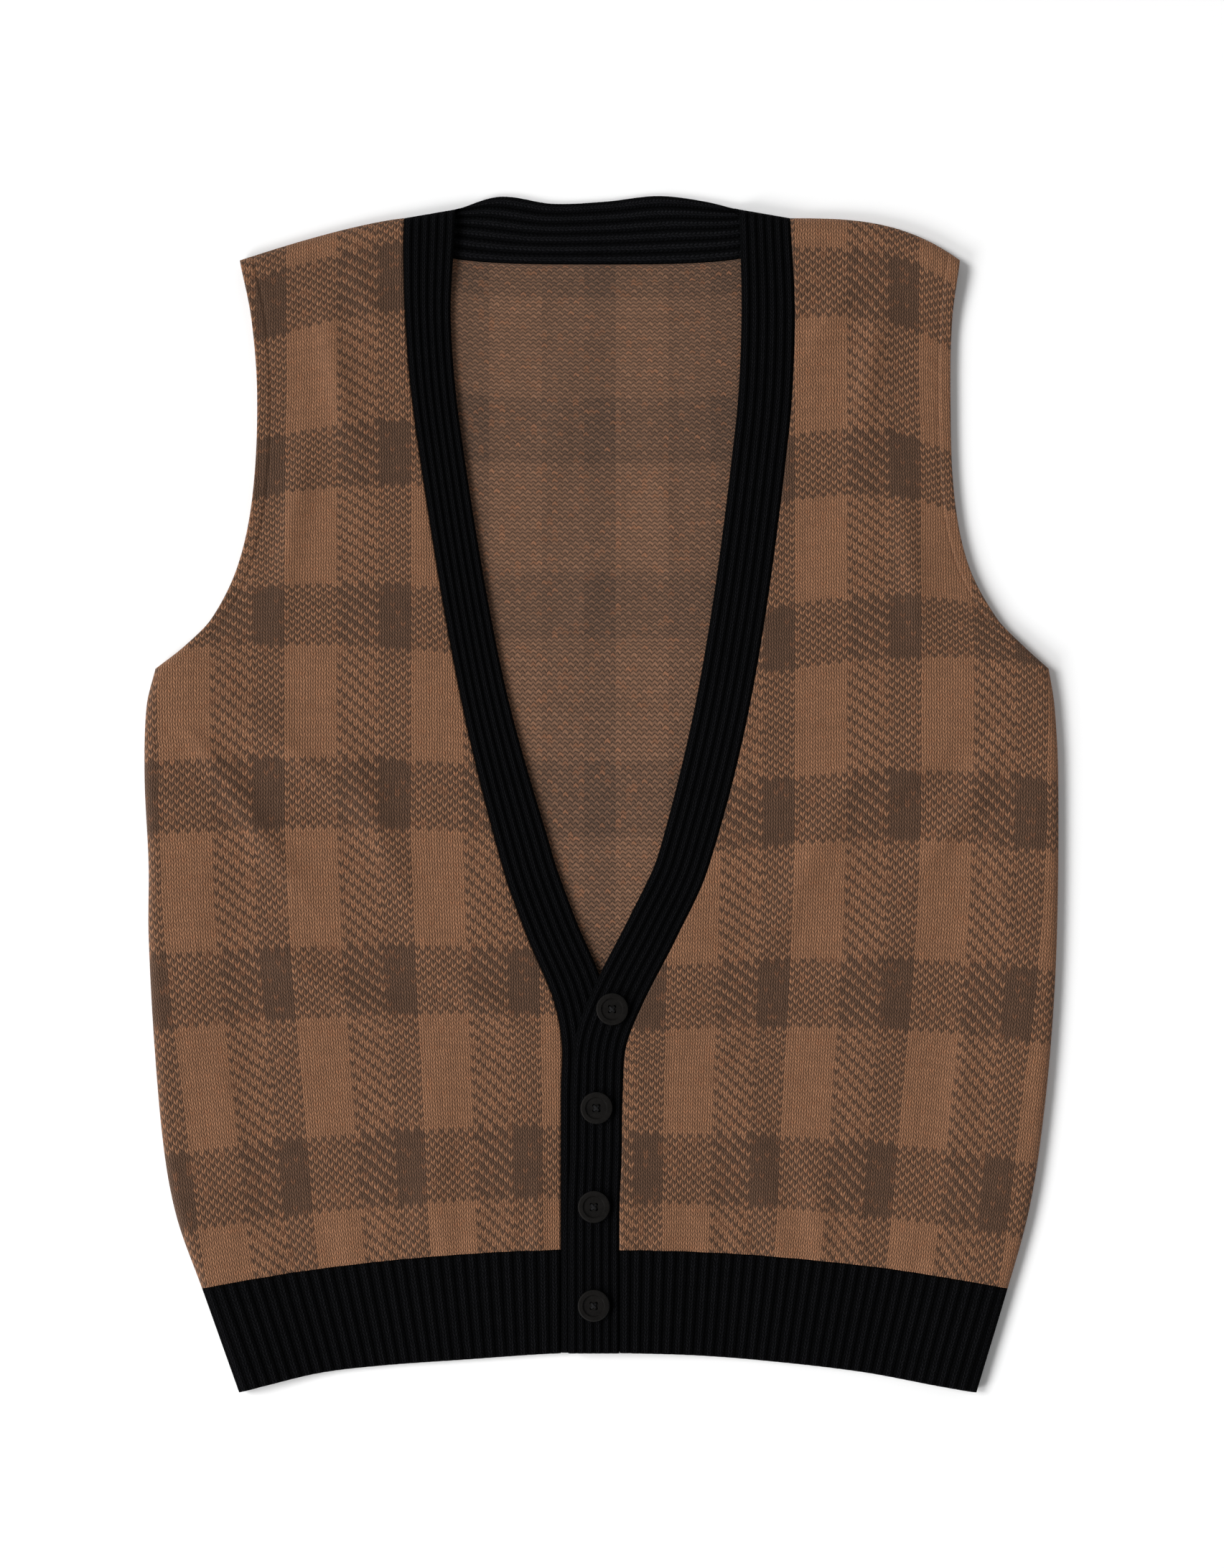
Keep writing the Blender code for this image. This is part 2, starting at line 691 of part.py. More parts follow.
def button(name, x, y, z, material):
    """A dished round button with sewing holes, its back at height z."""
    top = BUTTON_THICKNESS
    profile = (
        (BUTTON_RADIUS - BUTTON_EDGE, 0.0),
        (BUTTON_RADIUS, BUTTON_EDGE),
        (BUTTON_RADIUS, top - BUTTON_EDGE),
        (BUTTON_RADIUS - BUTTON_EDGE, top),
        (BUTTON_DISH_RADIUS, top),
        (BUTTON_DISH_RADIUS - BUTTON_EDGE, top - BUTTON_DISH_DEPTH),
    )
    turns = [k * math.tau / BUTTON_SEGMENTS for k in range(BUTTON_SEGMENTS)]
    bm = bmesh.new()
    rings = [
        [bm.verts.new((radius * math.cos(turn), radius * math.sin(turn), height)) for turn in turns]
        for radius, height in profile
    ]
    for low, high in zip(rings, rings[1:]):
        for k in range(BUTTON_SEGMENTS):
            after = (k + 1) % BUTTON_SEGMENTS
            bm.faces.new((low[k], low[after], high[after], high[k]))
    bm.faces.new(rings[0])
    bm.faces.new(rings[-1])
    obj = new_object(name, bm, material)
    obj.location = (x * MM, y * MM, z * MM)
    for k in range(BUTTON_HOLES):
        turn = math.pi / BUTTON_HOLES + k * math.tau / BUTTON_HOLES
        hole_x = x + BUTTON_HOLE_OFFSET * math.cos(turn)
        hole_y = y + BUTTON_HOLE_OFFSET * math.sin(turn)
        cut = obj.modifiers.new("sewing_hole", "BOOLEAN")
        cut.operation = "DIFFERENCE"
        cut.object = hole_cutter(hole_x, hole_y, z)
    return obj


def plain_material(name, colour, roughness):
    material = bpy.data.materials.new(name)
    material.use_nodes = True
    shader = material.node_tree.nodes["Principled BSDF"]
    shader.inputs["Base Color"].default_value = (*colour, 1.0)
    shader.inputs["Roughness"].default_value = roughness
    shader.inputs["Metallic"].default_value = 0.0
    return material


def main():
    for obj in list(bpy.data.objects):
        bpy.data.objects.remove(obj)
    brown = plain_material("brown_knit", (0.15, 0.076, 0.045), 0.95)
    black = plain_material("black_rib", (0.008, 0.008, 0.009), 0.95)
    button_black = plain_material("black_button", (0.012, 0.010, 0.009), 0.35)

    back_panel("back_panel", brown)
    back_hem("hem_back", black)
    for side, word in ((1, "left"), (-1, "right")):
        front_panel(f"front_{word}", side, brown)
        front_hem(f"hem_front_{word}", side, black)
        front_band(f"band_{word}", side, black)
    back_neckband("neckband_back", black)
    for k in range(BUTTON_COUNT):
        y = BUTTON_TOP_Y - k * BUTTON_SPACING
        z = BAND_TOP + OVERLAP_LIFT + SEAM_GAP
        button(f"button_{k + 1}", through(BAND_LINE[1], y), y, z, button_black)


main()
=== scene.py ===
import math

import bmesh
import bpy
import numpy as np
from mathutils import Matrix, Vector


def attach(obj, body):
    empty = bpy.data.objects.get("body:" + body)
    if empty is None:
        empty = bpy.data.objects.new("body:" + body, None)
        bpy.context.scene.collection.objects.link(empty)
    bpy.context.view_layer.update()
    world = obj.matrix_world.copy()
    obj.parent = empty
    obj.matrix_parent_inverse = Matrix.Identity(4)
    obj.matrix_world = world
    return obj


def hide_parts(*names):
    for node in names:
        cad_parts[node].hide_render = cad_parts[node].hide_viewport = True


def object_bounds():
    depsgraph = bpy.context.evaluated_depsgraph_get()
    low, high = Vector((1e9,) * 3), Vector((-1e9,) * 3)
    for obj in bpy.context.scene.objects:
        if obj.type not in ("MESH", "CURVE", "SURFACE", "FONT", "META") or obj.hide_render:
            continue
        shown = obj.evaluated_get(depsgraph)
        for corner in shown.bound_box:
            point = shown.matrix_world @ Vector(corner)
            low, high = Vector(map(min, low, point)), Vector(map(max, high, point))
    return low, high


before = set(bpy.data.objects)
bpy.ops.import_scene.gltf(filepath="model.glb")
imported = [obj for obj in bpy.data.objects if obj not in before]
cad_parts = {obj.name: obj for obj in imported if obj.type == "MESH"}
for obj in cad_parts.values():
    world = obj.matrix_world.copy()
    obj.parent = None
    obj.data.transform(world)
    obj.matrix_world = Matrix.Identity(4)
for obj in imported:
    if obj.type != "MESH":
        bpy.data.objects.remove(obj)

CAD_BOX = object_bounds()
MM = 0.001

# ---- sizes, in millimetres, as in the solids
# The outline's main points. The vest lies a little unevenly: its left side is 1 and its right one -1.
HALF_LENGTH = 340.0
HEM_BOTTOM_MID = -317.5
HEM_SEAM_MID = -259.0
HEM_SAG = 22.0
HEM_SEAM_SIDE_Y = HEM_SEAM_MID - HEM_SAG
HEM_CORNER_X = {1: 213.0, -1: 206.0}
HEM_SEAM_X = {1: 230.7, -1: 227.0}
ARMPIT_Y = 71.0
SHOULDER_TIP_X = {1: 203.5, -1: 205.5}
SHOULDER_TIP_Y = 303.0
SHOULDER_ROUNDING = {1: 3.0, -1: 1.3}
NECK_CENTRE = -2.5
NECK_X = 109.5
NECK_Y = 327.0
NECK_DEPTH = 26.0
NECK_SQUARENESS = 3.4
PANEL_LENGTH = NECK_Y - HEM_SEAM_MID
# Walls, and the heights at which they lie
CLOTH = 2.4
RIB_BASE = 2.2
RIB_RELIEF = 0.8
RIB_WALL = RIB_BASE + RIB_RELIEF
FOLD_RADIUS = 6.0
SIDE_HEIGHT = 8.6
SHOULDER_HEIGHT = 8.0
SIDE_PUFF_REACH = 62.0
SHOULDER_PUFF_REACH = 45.0
ARMHOLE_OPENING = 26.0
CLOTH_TOP = 5.4
BAND_TOP = 6.4
OVERLAP_LIFT = 3.3
# Bands, neckband and hem
BAND_WIDTH = 29.0
BAND_RIBS = 6
OVERLAP_START_Y = -62.0
OVERLAP_FULL_Y = -94.0
OVERLAP_REACH = 75.0
BAND_END_SLANT = 5.0
BAND_END_REACH = 45.0
NECK_FREE_X = NECK_X - BAND_WIDTH
HEM_RIB_PITCH = 6.2
# Where the armpit lies on a panel's length and the neck's end on the back's width, as shares
ARMPIT_SHARE = 0.56
SHOULDER_SHARE = 0.25
# Buttons
BUTTON_COUNT = 4
BUTTON_TOP_Y = -122.0
BUTTON_SPACING = 56.0
BUTTON_GAP = 0.3
BUTTON_THICKNESS = 3.2
BUTTON_DISH_DEPTH = 0.9
BUTTON_HOLE_OFFSET = 2.1
BUTTON_FACE_Z = BAND_TOP + OVERLAP_LIFT + BUTTON_GAP + BUTTON_THICKNESS - BUTTON_DISH_DEPTH

# ---- the photograph's frame and light
# Pixels, millimetres in one, and how far the vest's middle is from the frame's
IMAGE_HEIGHT = 2184
PIXEL = 0.4075
OFF_CENTRE = (14.5, 13.6)
# Millimetres for the lens and its sensor, metres for the far end of what the camera sees
LENS = 100.0
SENSOR_WIDTH = 36.0
CLIP_END = 20.0
# Place in metres, power, and width: degrees for the sun, metres for the lamp
KEY_SUN = ((-3.2, 0.7, 3.1), 2.2, 26.0)
SIDE_LAMP = ((-2.5, -1.8, 1.9), 72.0, 1.4)
HORIZON_LIGHT = 0.9
ZENITH_LIGHT = 0.07
# Metres from the floor's middle to its sides and from the vest down to it
FLOOR_REACH = 6.0
FLOOR_DROP = 0.0004
FLOOR_MOTTLE = 3.0
FLOOR_SHADES = ((0.975, 0.975, 0.975), (0.99, 0.99, 0.99))

# ---- finer sizes that only the shells have
SEAM_GAP = 0.12
GRID_STEP = 3.0
RIB_LINES = 8
SHOULDER_LINES = 34
NECK_TRACE = 2400
NECK_CORNERS = 60
NECK_END_CORNERS = 3
# A rib's valley and the slope beside it, as shares of its pitch
RIB_VALLEY = 0.05
RIB_SLOPE = 0.24
# How far from an edge a wall is rounded off, and the share of it that is left on the edge itself
CLOTH_ROUNDING = 1.3
HEM_ROUNDING = 1.5
BAND_ROUNDING = 1.2
EDGE_LEFT = 0.12
# The armhole's turned edge: a bead with a groove behind it
TURNED_EDGE = 7.5
BEAD_HEIGHT = 0.45
BEAD_SLOPE_START = 1.0
BEAD_SLOPE = 1.6
GROOVE_DEPTH = 0.35
GROOVE_BEHIND = 0.6
GROOVE_WIDTH = 0.9
# The back: the margin at its sides, as a share, and how soon its shoulder fold opens beside the neck
BACK_MARGIN = 0.031
SHOULDER_FADE = 14.0
# Small gathers above the hem: the smallest and largest height, width, reach and lean, and spacing
GATHER_SIZES = ((0.7, 1.9), (4.5, 8.5), (16.0, 46.0), (-0.25, 0.25))
GATHER_SPACING = (13.0, 27.0)
GATHERED_TO = 232.0
GATHER_SEED = 5
# The sewing thread on the buttons, and the finer rounding of their rims
THREAD_RADIUS = 0.33
THREAD_ASIDE = 0.8 * THREAD_RADIUS
THREAD_OVER = 1.5 * THREAD_RADIUS
THREAD_RISE = 0.55
THREAD_DIP = 0.9
THREAD_STEPS = 11
THREAD_SIDES = 8
RIM_WIDTH = 0.3
RIM_SEGMENTS = 2
RIM_ANGLE = 30.0
# How far inside an edge a grid's lines lie: a cut edge that is rounded off, and the cloth beside a fold
CUT_EDGE = (0.0, 0.1, 0.3, 0.6, 1.0, 1.6)
RIB_EDGE = (0.0, 0.1, 0.3)
BESIDE_FOLD = (6.3, 6.9, 7.5, 8.1, 8.7, 9.4, 10.4)
FEW_BESIDE_FOLD = BESIDE_FOLD[::3]
# Degrees round a folded edge, from the flat cloth to the seam
FOLD_ANGLES = np.linspace(90.0, 0.0, 10)

# ---- the knitting, in stitches and rows
STITCH_WIDTH = 3.0
BAND_STITCH_HEIGHT = 2.39
HEM_STITCH_HEIGHT = 2.2
WALES_PER_RIB = 2.0
# Where on a row the stitches are counted from, as a share of its lines
MIDDLE_COLUMN = 0.4
# The plaid's repeat, and its light and dark parts
REPEAT_ACROSS = 24
REPEAT_ALONG = 45
LIGHT_ACROSS = 10
DARK_ACROSS = 6
LIGHT_ALONG = 28
LIGHT_ROW_CENTRE = 23.0
# x of a light stripe's centre on the left front (1), the right front (-1) and the back (0), in millimetres
CHECK_CENTRE = {1: 124.5, -1: -165.0, 0: 23.0}
# How the yarn wanders, how a stitch's legs slant and how full they are, all in stitches or shares of one
WANDER_SCALE = 0.55
WANDER = 0.5
PURL_WAVE = 0.22
PURL_FULLNESS = 0.7
LEG_SLANT = 0.8
LEG_FULLNESS = 0.55
LEG_LOWEST = 0.25
FIBRES_ACROSS = 2.2
FIBRES_ALONG = 7.0
# Scale, detail and roughness of each noise
FIBRE_NOISE = (1.0, 3.0, 0.65)
HAIR_NOISE = (1.1, 2.0, 0.7)
CLOUD_NOISE = (0.05, 2.0)
# How much of its shade the wool always has, and how much each cause adds
SHADE_BASE = 0.39
STITCH_SHADE = 0.16
FIBRE_SHADE = 0.55
CLOUD_SHADE = 0.16
COURSE_SHADE = 0.07
WALE_SHADE = 0.05
HAIR_SHADE = 0.14
HAIR_WIDTH = 0.006
# What keeps the random shades of rows, columns and flecks apart
COURSE_SEED, WALE_SEED, FLECK_SEED = 7.0, 11.0, 3.0

# ---- colours and surfaces
LIGHT_YARN = (0.287, 0.136, 0.0705)
DARK_YARN = (0.109, 0.0555, 0.0316)
REVERSE_LIGHT = (0.211, 0.109, 0.0637)
REVERSE_DARK = (0.0900, 0.0507, 0.0328)
FLECK_YARN = (0.30, 0.12, 0.055)
BLACK_YARN = (0.0022, 0.0023, 0.0028)
BLACK_YARN_LIT = (0.0125, 0.0125, 0.0142)
BUTTON_SHADES = ((0.0030, 0.0028, 0.0026), (0.0085, 0.0075, 0.0068))
THREAD_SHADES = ((0.004, 0.004, 0.0045), (0.013, 0.013, 0.014))
# The reverse shows the light yarn by stitch, by a constant and by how light the plaid is there
REVERSE_BY_STITCH = 0.5
REVERSE_CONSTANT = -0.05
REVERSE_BY_LEVEL = 0.6
# The random value from which a stitch has flecks, and how strong they are
FLECK_FROM = 0.92
FLECK_SHARE = 0.3
# Painted shade in the hollows between stitches, and the painted light their relief adds
BROWN_HOLLOW_PAINTED_SHADE, BROWN_RELIEF_PAINTED_LIGHT = 0.56, 0.62
BLACK_HOLLOW_PAINTED_SHADE, BLACK_RELIEF_PAINTED_LIGHT = 0.3, 0.7
# Painted shade half way up a rib, and the painted light its crest adds or the painted shade its valley takes
RIB_PAINTED_SHADE, RIB_CREST_PAINTED_LIGHT = 0.6, 0.4
# How much painted light makes the neckband's ribs lighter, as they lie across the light
NECKBAND_PAINTED_LIGHT = 1.5
# Height of the bumps in metres, and how much of it the fibres add
BROWN_BUMP, BROWN_FIBRE_BUMP = 0.0008, 0.35
BLACK_BUMP, BLACK_FIBRE_BUMP = 0.0010, 0.3
BUTTON_BUMP = 0.00004
THREAD_BUMP = 0.0001
BUTTON_SWIRL = (260.0, 3.0, 0.6)
BUTTON_GRAIN = (2400.0, 2.0)
BUTTON_ROUGHNESS, BUTTON_SWIRL_ROUGHNESS = 0.3, 0.2
THREAD_NOISE = (1800.0, 1.0)
# Roughness and specular level, then the sheen's weight, tint and roughness
BROWN_FINISH = (0.95, 0.1, 0.12, (1.0, 0.86, 0.76), 0.6)
BLACK_FINISH = (0.9, 0.02, 0.004, (0.85, 0.92, 1.0))
BUTTON_SPECULAR = 0.12
THREAD_FINISH = (0.75, 0.15)
FLOOR_FINISH = (0.9, 0.0)

# ---- tables
# Half width of the vest by its sides, left (1) and right (-1): y, x
SIDE = {
    1: ((-340, 213), (-281, 230.7), (-242, 241.6), (-205, 248.3), (-144, 255.1), (-80, 258.7),
        (10, 259.4), (50, 257.3), (71, 254)),
    -1: ((-340, 206), (-281, 227), (-242, 241), (-205, 248.3), (-144, 254), (-80, 257.4),
         (-40, 257.4), (10, 259.7), (50, 258.5), (71, 253.5)),
}
ARMHOLE = {
    1: ((71, 254), (84, 239.5), (100, 224.3), (130, 208.4), (170, 200.3), (225, 198.2),
        (270, 199.2), (303, 203.5)),
    -1: ((71, 253.5), (84, 236.7), (100, 221.3), (130, 206.6), (170, 198.3), (225, 195.7),
         (270, 199), (303, 205.5)),
}
# Centre line of each front band: y, x
BAND_LINE = {
    1: ((-317.5, -4.4), (-235, -4.4), (-205, -3.3), (-170, -2.7), (-140, -0.4), (-112, 10.5),
        (-76, 29), (-38, 46.4), (64, 71.2), (206, 91), (270, 94.5), (327, 92.5)),
    -1: ((-317.5, -8.5), (-235, -8.5), (-170, -8.3), (-140, -8), (-112, -13.5), (-76, -28.5),
         (-38, -42), (64, -68.6), (206, -92.6), (270, -98.5), (327, -97.5)),
}
# How much wider than its usual width each front band lies: y, extra width
BAND_SPREAD = {
    1: ((-50, 0), (20, 1.2), (265, 1.2), (315, 0)),
    -1: ((-30, 0), (80, -3.6), (265, -3.6), (315, 0)),
}
# Lower edge of the hem, and the free edge of the back neckband: x, y
HEM_BOTTOM = ((-206, -340), (-190, -335.8), (-160, -328.9), (-125, -324.8), (-85, -321.9),
              (-15, -317.5), (40, -318.2), (86, -321.4), (145, -328), (190, -336), (213, -340))
NECK_TOP = ((-83, 332), (-58, 339.6), (-28, 335.6), (2, 336.8), (32, 340), (58, 337),
            (78, 332))

# Where the knitting's rows lie on each front and on the back: y, rows from the lowest dark band. They are a
# little uneven, as the cloth is.
FRONT_ROWS = {
    1: ((-290, -32.5), (-214.5, 0), (-112.5, 45), (-11.5, 90), (87, 135), (184, 180),
        (288, 225), (345, 250)),
    -1: ((-290, -33), (-211, 0), (-104.5, 45), (-1.5, 90), (99, 135), (193, 180),
         (292, 225), (345, 249)),
}
BACK_ROWS = ((-290, -29), (-225, 0), (-120, 45), (-12, 90), (100, 135), (216, 180),
             (325, 225), (345, 233))
# How far the hem rib draws the cloth in: y, share of its full width
DRAWN_IN = ((-281, 0.875), (-242, 0.905), (-200, 0.925), (-160, 0.945), (-100, 0.975), (-50, 0.992),
            (0, 1), (340, 1))

# The large soft folds of the solids: x, y, turn, length, width, height
FOLDS = (
    (196, 38, 28, 74, 15, 1.9),
    (158, -120, 78, 96, 19, 1.5),
    (84, -196, 103, 58, 14, 1.3),
    (150, 206, 84, 66, 13, 1.2),
    (-188, 30, 149, 82, 16, 2),
    (-176, -96, 96, 88, 17, 1.6),
    (-98, -176, 74, 62, 15, 1.2),
    (-146, 222, 99, 58, 12, 1.3),
)
# Smaller ones that only the shells have, in the same columns
CREASES = (
    (224, 24, 47, 30, 6, 2.9),
    (205, -12, 52, 46, 7, 3.1),
    (176, 10, 38, 32, 6, 2),
    (232, -70, 100, 42, 7, 2.5),
    (118, -40, 63, 52, 9, 2.6),
    (150, -94, 30, 36, 8, 2.3),
    (72, -140, 36, 26, 7, 1.9),
    (176, 132, 98, 42, 8, 2.8),
    (152, 240, 80, 34, 7, 2.3),
    (128, 268, 60, 24, 7, 1.7),
    (205, -170, 84, 36, 8, 2.5),
    (120, -228, 96, 26, 8, 2),
    (-226, 26, 133, 32, 6, 2.9),
    (-200, -14, 126, 48, 7, 3.3),
    (-170, 20, 140, 30, 6, 2),
    (-232, -92, 84, 46, 7, 2.6),
    (-126, -22, 112, 54, 9, 2.8),
    (-150, -112, 152, 40, 8, 2.3),
    (-66, -118, 140, 26, 7, 1.9),
    (-176, 150, 82, 44, 8, 2.9),
    (-150, 236, 100, 32, 7, 2.3),
    (-134, 284, 118, 24, 7, 1.7),
    (-214, -176, 98, 40, 8, 2.3),
    (-96, -224, 80, 30, 8, 2),
)
# The back's, which show inside the V
BACK_CREASES = (
    (-24, 214, 80, 46, 9, 0.9),
    (34, 168, 98, 40, 8, 0.8),
    (-14, 96, 72, 34, 8, 0.7),
    (12, 30, 94, 26, 7, 0.5),
    (20, 272, 8, 40, 9, 0.8),
)


# ---- small maths on arrays
def lerp(a, b, share):
    return a + (b - a) * share


def ease(share):
    share = np.clip(share, 0.0, 1.0)
    return share * share * (3.0 - 2.0 * share)


def alike(*values):
    """Numbers or arrays as arrays of one shape."""
    return np.broadcast_arrays(*(np.asarray(value, float) for value in values))


def pair(x, y):
    return np.stack(alike(x, y), -1)


def through(table, at):
    """The value of a smooth curve through a table's rows, held level past its ends."""
    xs, ys = np.array(table, float).T
    at = np.clip(at, xs[0], xs[-1])
    low = np.maximum(np.arange(len(xs)) - 1, 0)
    high = np.minimum(np.arange(len(xs)) + 1, len(xs) - 1)
    slope = (ys[high] - ys[low]) / (xs[high] - xs[low])
    k = np.clip(np.searchsorted(xs, at, side="right") - 1, 0, len(xs) - 2)
    span = xs[k + 1] - xs[k]
    u = (at - xs[k]) / span
    return (ys[k] * (1 + 2 * u) * (1 - u) ** 2 + slope[k] * span * u * (1 - u) ** 2
            + ys[k + 1] * u * u * (3 - 2 * u) + slope[k + 1] * span * u * u * (u - 1))


def coons(bottom, top, start, end):
    """A patch between four edges: a function that gives the point at two shares."""

    def point(s, t):
        s, t = alike(s, t)
        a, b = s[..., None], t[..., None]
        zero, one = np.zeros(1), np.ones(1)
        across = lerp(start(t), end(t), a)
        along = lerp(bottom(s), top(s), b)
        return across + along - lerp(lerp(bottom(zero), bottom(one), a), lerp(top(zero), top(one), a), b)

    return point


# ---- the vest's lines
def by_side(x, values):
    """The left or the right side's value, by which side each x is on."""
    return np.where(np.asarray(x) < 0, values[-1], values[1])


def half_width(x, y):
    """How far the outline is from the middle, on the side and at the height of a point."""
    side, armhole = ({key: through(table, y) for key, table in edge.items()} for edge in (SIDE, ARMHOLE))
    return np.where(y < ARMPIT_Y, by_side(x, side), by_side(x, armhole))


def hem_seam_y(x):
    return HEM_SEAM_MID - HEM_SAG * (x / by_side(x, HEM_SEAM_X)) ** 2


def shoulder_y(x):
    neck_x = NECK_X + by_side(x, {1: NECK_CENTRE, -1: -NECK_CENTRE})
    share = np.maximum(0.0, (abs(x) - neck_x) / (by_side(x, SHOULDER_TIP_X) - neck_x))
    return NECK_Y - (NECK_Y - SHOULDER_TIP_Y) * share ** by_side(x, SHOULDER_ROUNDING)


def body_edge(t, side):
    low = lerp(HEM_SEAM_SIDE_Y + SEAM_GAP, ARMPIT_Y, t / ARMPIT_SHARE)
    high = lerp(ARMPIT_Y, SHOULDER_TIP_Y, (t - ARMPIT_SHARE) / (1.0 - ARMPIT_SHARE))
    y = np.where(t < ARMPIT_SHARE, low, high)
    return pair(side * np.where(t < ARMPIT_SHARE, through(SIDE[side], y), through(ARMHOLE[side], y)), y)


def hem_edge(t, side):
    y = lerp(-HALF_LENGTH, HEM_SEAM_SIDE_Y, t)
    return pair(side * through(SIDE[side], y), y)


def neck_corners(gap):
    """Evenly spaced points along the back neck seam, or a line this far outside it."""
    power = 2.0 / NECK_SQUARENESS
    turn = np.pi * (1.0 - np.linspace(0.0, 1.0, NECK_TRACE))
    across = np.sign(np.cos(turn)) * abs(np.cos(turn)) ** power
    down = np.maximum(0.0, np.sin(turn)) ** power
    fine = pair(NECK_CENTRE + (NECK_X + gap) * across, NECK_Y - (NECK_DEPTH + gap) * down)
    run = np.concatenate([[0.0], np.cumsum(np.linalg.norm(np.diff(fine, axis=0), axis=1))])
    want = np.linspace(0.0, run[-1], NECK_CORNERS + 1)
    return pair(np.interp(want, run, fine[:, 0]), np.interp(want, run, fine[:, 1]))


def neck_seam(corners, share):
    place = np.linspace(0.0, 1.0, NECK_CORNERS + 1)
    return pair(np.interp(share, place, corners[:, 0]), np.interp(share, place, corners[:, 1]))


def band_point(side, y, offset):
    """A point of a front band, by its place up the centre line and its distance across from there."""
    line = BAND_LINE[side]
    reach = 2.0
    slope = (through(line, y + reach) - through(line, y - reach)) / (2 * reach)
    length = np.hypot(1.0, slope)
    near_end = ease((y - (NECK_Y - BAND_END_REACH)) / BAND_END_REACH)
    slant = BAND_END_SLANT * (0.5 - side * offset / BAND_WIDTH)
    offset = offset + through(BAND_SPREAD[side], y) * np.clip(offset / BAND_WIDTH, -0.5, 0.5)
    return pair(through(line, y) + offset / length, y + lerp(-offset * slope / length, slant, near_end))


# ---- heights
def soft_ridges(table, x, y):
    """The height of a table's folds at each point."""
    total = 0.0
    for fx, fy, turn, length, width, height in table:
        turn = math.radians(turn)
        along = (x - fx) * math.cos(turn) + (y - fy) * math.sin(turn)
        across = (y - fy) * math.cos(turn) - (x - fx) * math.sin(turn)
        total = total + height * np.exp(-((along / length) ** 2) - (across / width) ** 2)
    return total


def gathers(x, y, seed):
    """Small uneven gathers just above the hem rib, which draws the cloth in."""
    rng = np.random.default_rng(seed)
    up = y - hem_seam_y(x)
    total = 0.0
    at = -GATHERED_TO
    while at < GATHERED_TO:
        height, width, reach, lean = (rng.uniform(*limits) for limits in GATHER_SIZES)
        total = total + height * np.exp(-(((x - at - lean * up) / width) ** 2) - (up / reach) ** 2)
        at += rng.uniform(*GATHER_SPACING)
    return total


def side_closed(y):
    """How far the sides are folded at a height: 1 up to the armpit and 0 along the armhole."""
    return 1.0 - ease((y - ARMPIT_Y) / ARMHOLE_OPENING)


def overlap_lift(x, y, side):
    """How much the left front and its band are raised where they lie over the right band."""
    if side < 0:
        return 0.0 * x
    seam_x = through(BAND_LINE[side], y) + BAND_WIDTH / 2
    below = ease((y - OVERLAP_START_Y) / (OVERLAP_FULL_Y - OVERLAP_START_Y))
    return OVERLAP_LIFT * below * (1.0 - ease((x - seam_x) / OVERLAP_REACH))


def puffed(flat, x, y):
    """A flat height raised towards the folds of the sides and shoulders."""
    beside = side_closed(y) * (1.0 - ease((half_width(x, y) - abs(x) - FOLD_RADIUS) / SIDE_PUFF_REACH))
    above = 1.0 - ease((shoulder_y(x) - y - FOLD_RADIUS) / SHOULDER_PUFF_REACH)
    return np.maximum(lerp(flat, SIDE_HEIGHT, beside), lerp(flat, SHOULDER_HEIGHT, above))


# ---- grids
# A line of a grid is a column of four values: its share of the length, how far past that it lies, its angle
# round a folded edge (90 where it is flat) and which edge that is: -1 the start, 1 the end, 0 neither.
SHARE, OFFSET, ANGLE, EDGE = range(4)


def flat_lines(shares, offsets=0.0):
    shares, offsets = alike(shares, offsets)
    return np.stack([shares, offsets, np.full(shares.shape, 90.0), np.zeros(shares.shape)])


def lines_inside(edge, insets):
    """Flat lines at fixed distances inside the start (-1) or the end (1)."""
    insets = np.sort(insets)[::-edge]
    return flat_lines(np.full(len(insets), (edge + 1) / 2), -edge * insets)


def lines_round(edge):
    """Lines round a folded edge, from the flat cloth to the seam or back."""
    angles = FOLD_ANGLES[::edge]
    insets = FOLD_RADIUS * (1.0 - np.cos(np.radians(angles)))
    count = len(angles)
    return np.stack([np.full(count, (edge + 1) / 2), -edge * insets, angles, np.full(count, float(edge))])


def sliding_lines(count, low, high):
    """Even lines between two margins, which keep their width where the length changes."""
    shares = np.linspace(0.0, 1.0, count + 1)[1:-1]
    return flat_lines(shares, low * (1.0 - shares) - high * shares)


def joined(*parts):
    return np.concatenate(parts, 1)


def share_at(found, length, depth):
    """Where lines lie on a face that is this deep inside the outer one, as a share of the length."""
    inset = found[EDGE] * depth * np.cos(np.radians(found[ANGLE]))
    return found[SHARE] + (found[OFFSET] - inset) / length


def run_at(found, length):
    """How far along the cloth lines lie, with a folded edge laid flat."""
    arc = FOLD_RADIUS * (np.radians(90.0 - found[ANGLE]) - 1.0)
    return found[SHARE] * length + np.where(found[EDGE] != 0, found[EDGE] * arc, found[OFFSET])


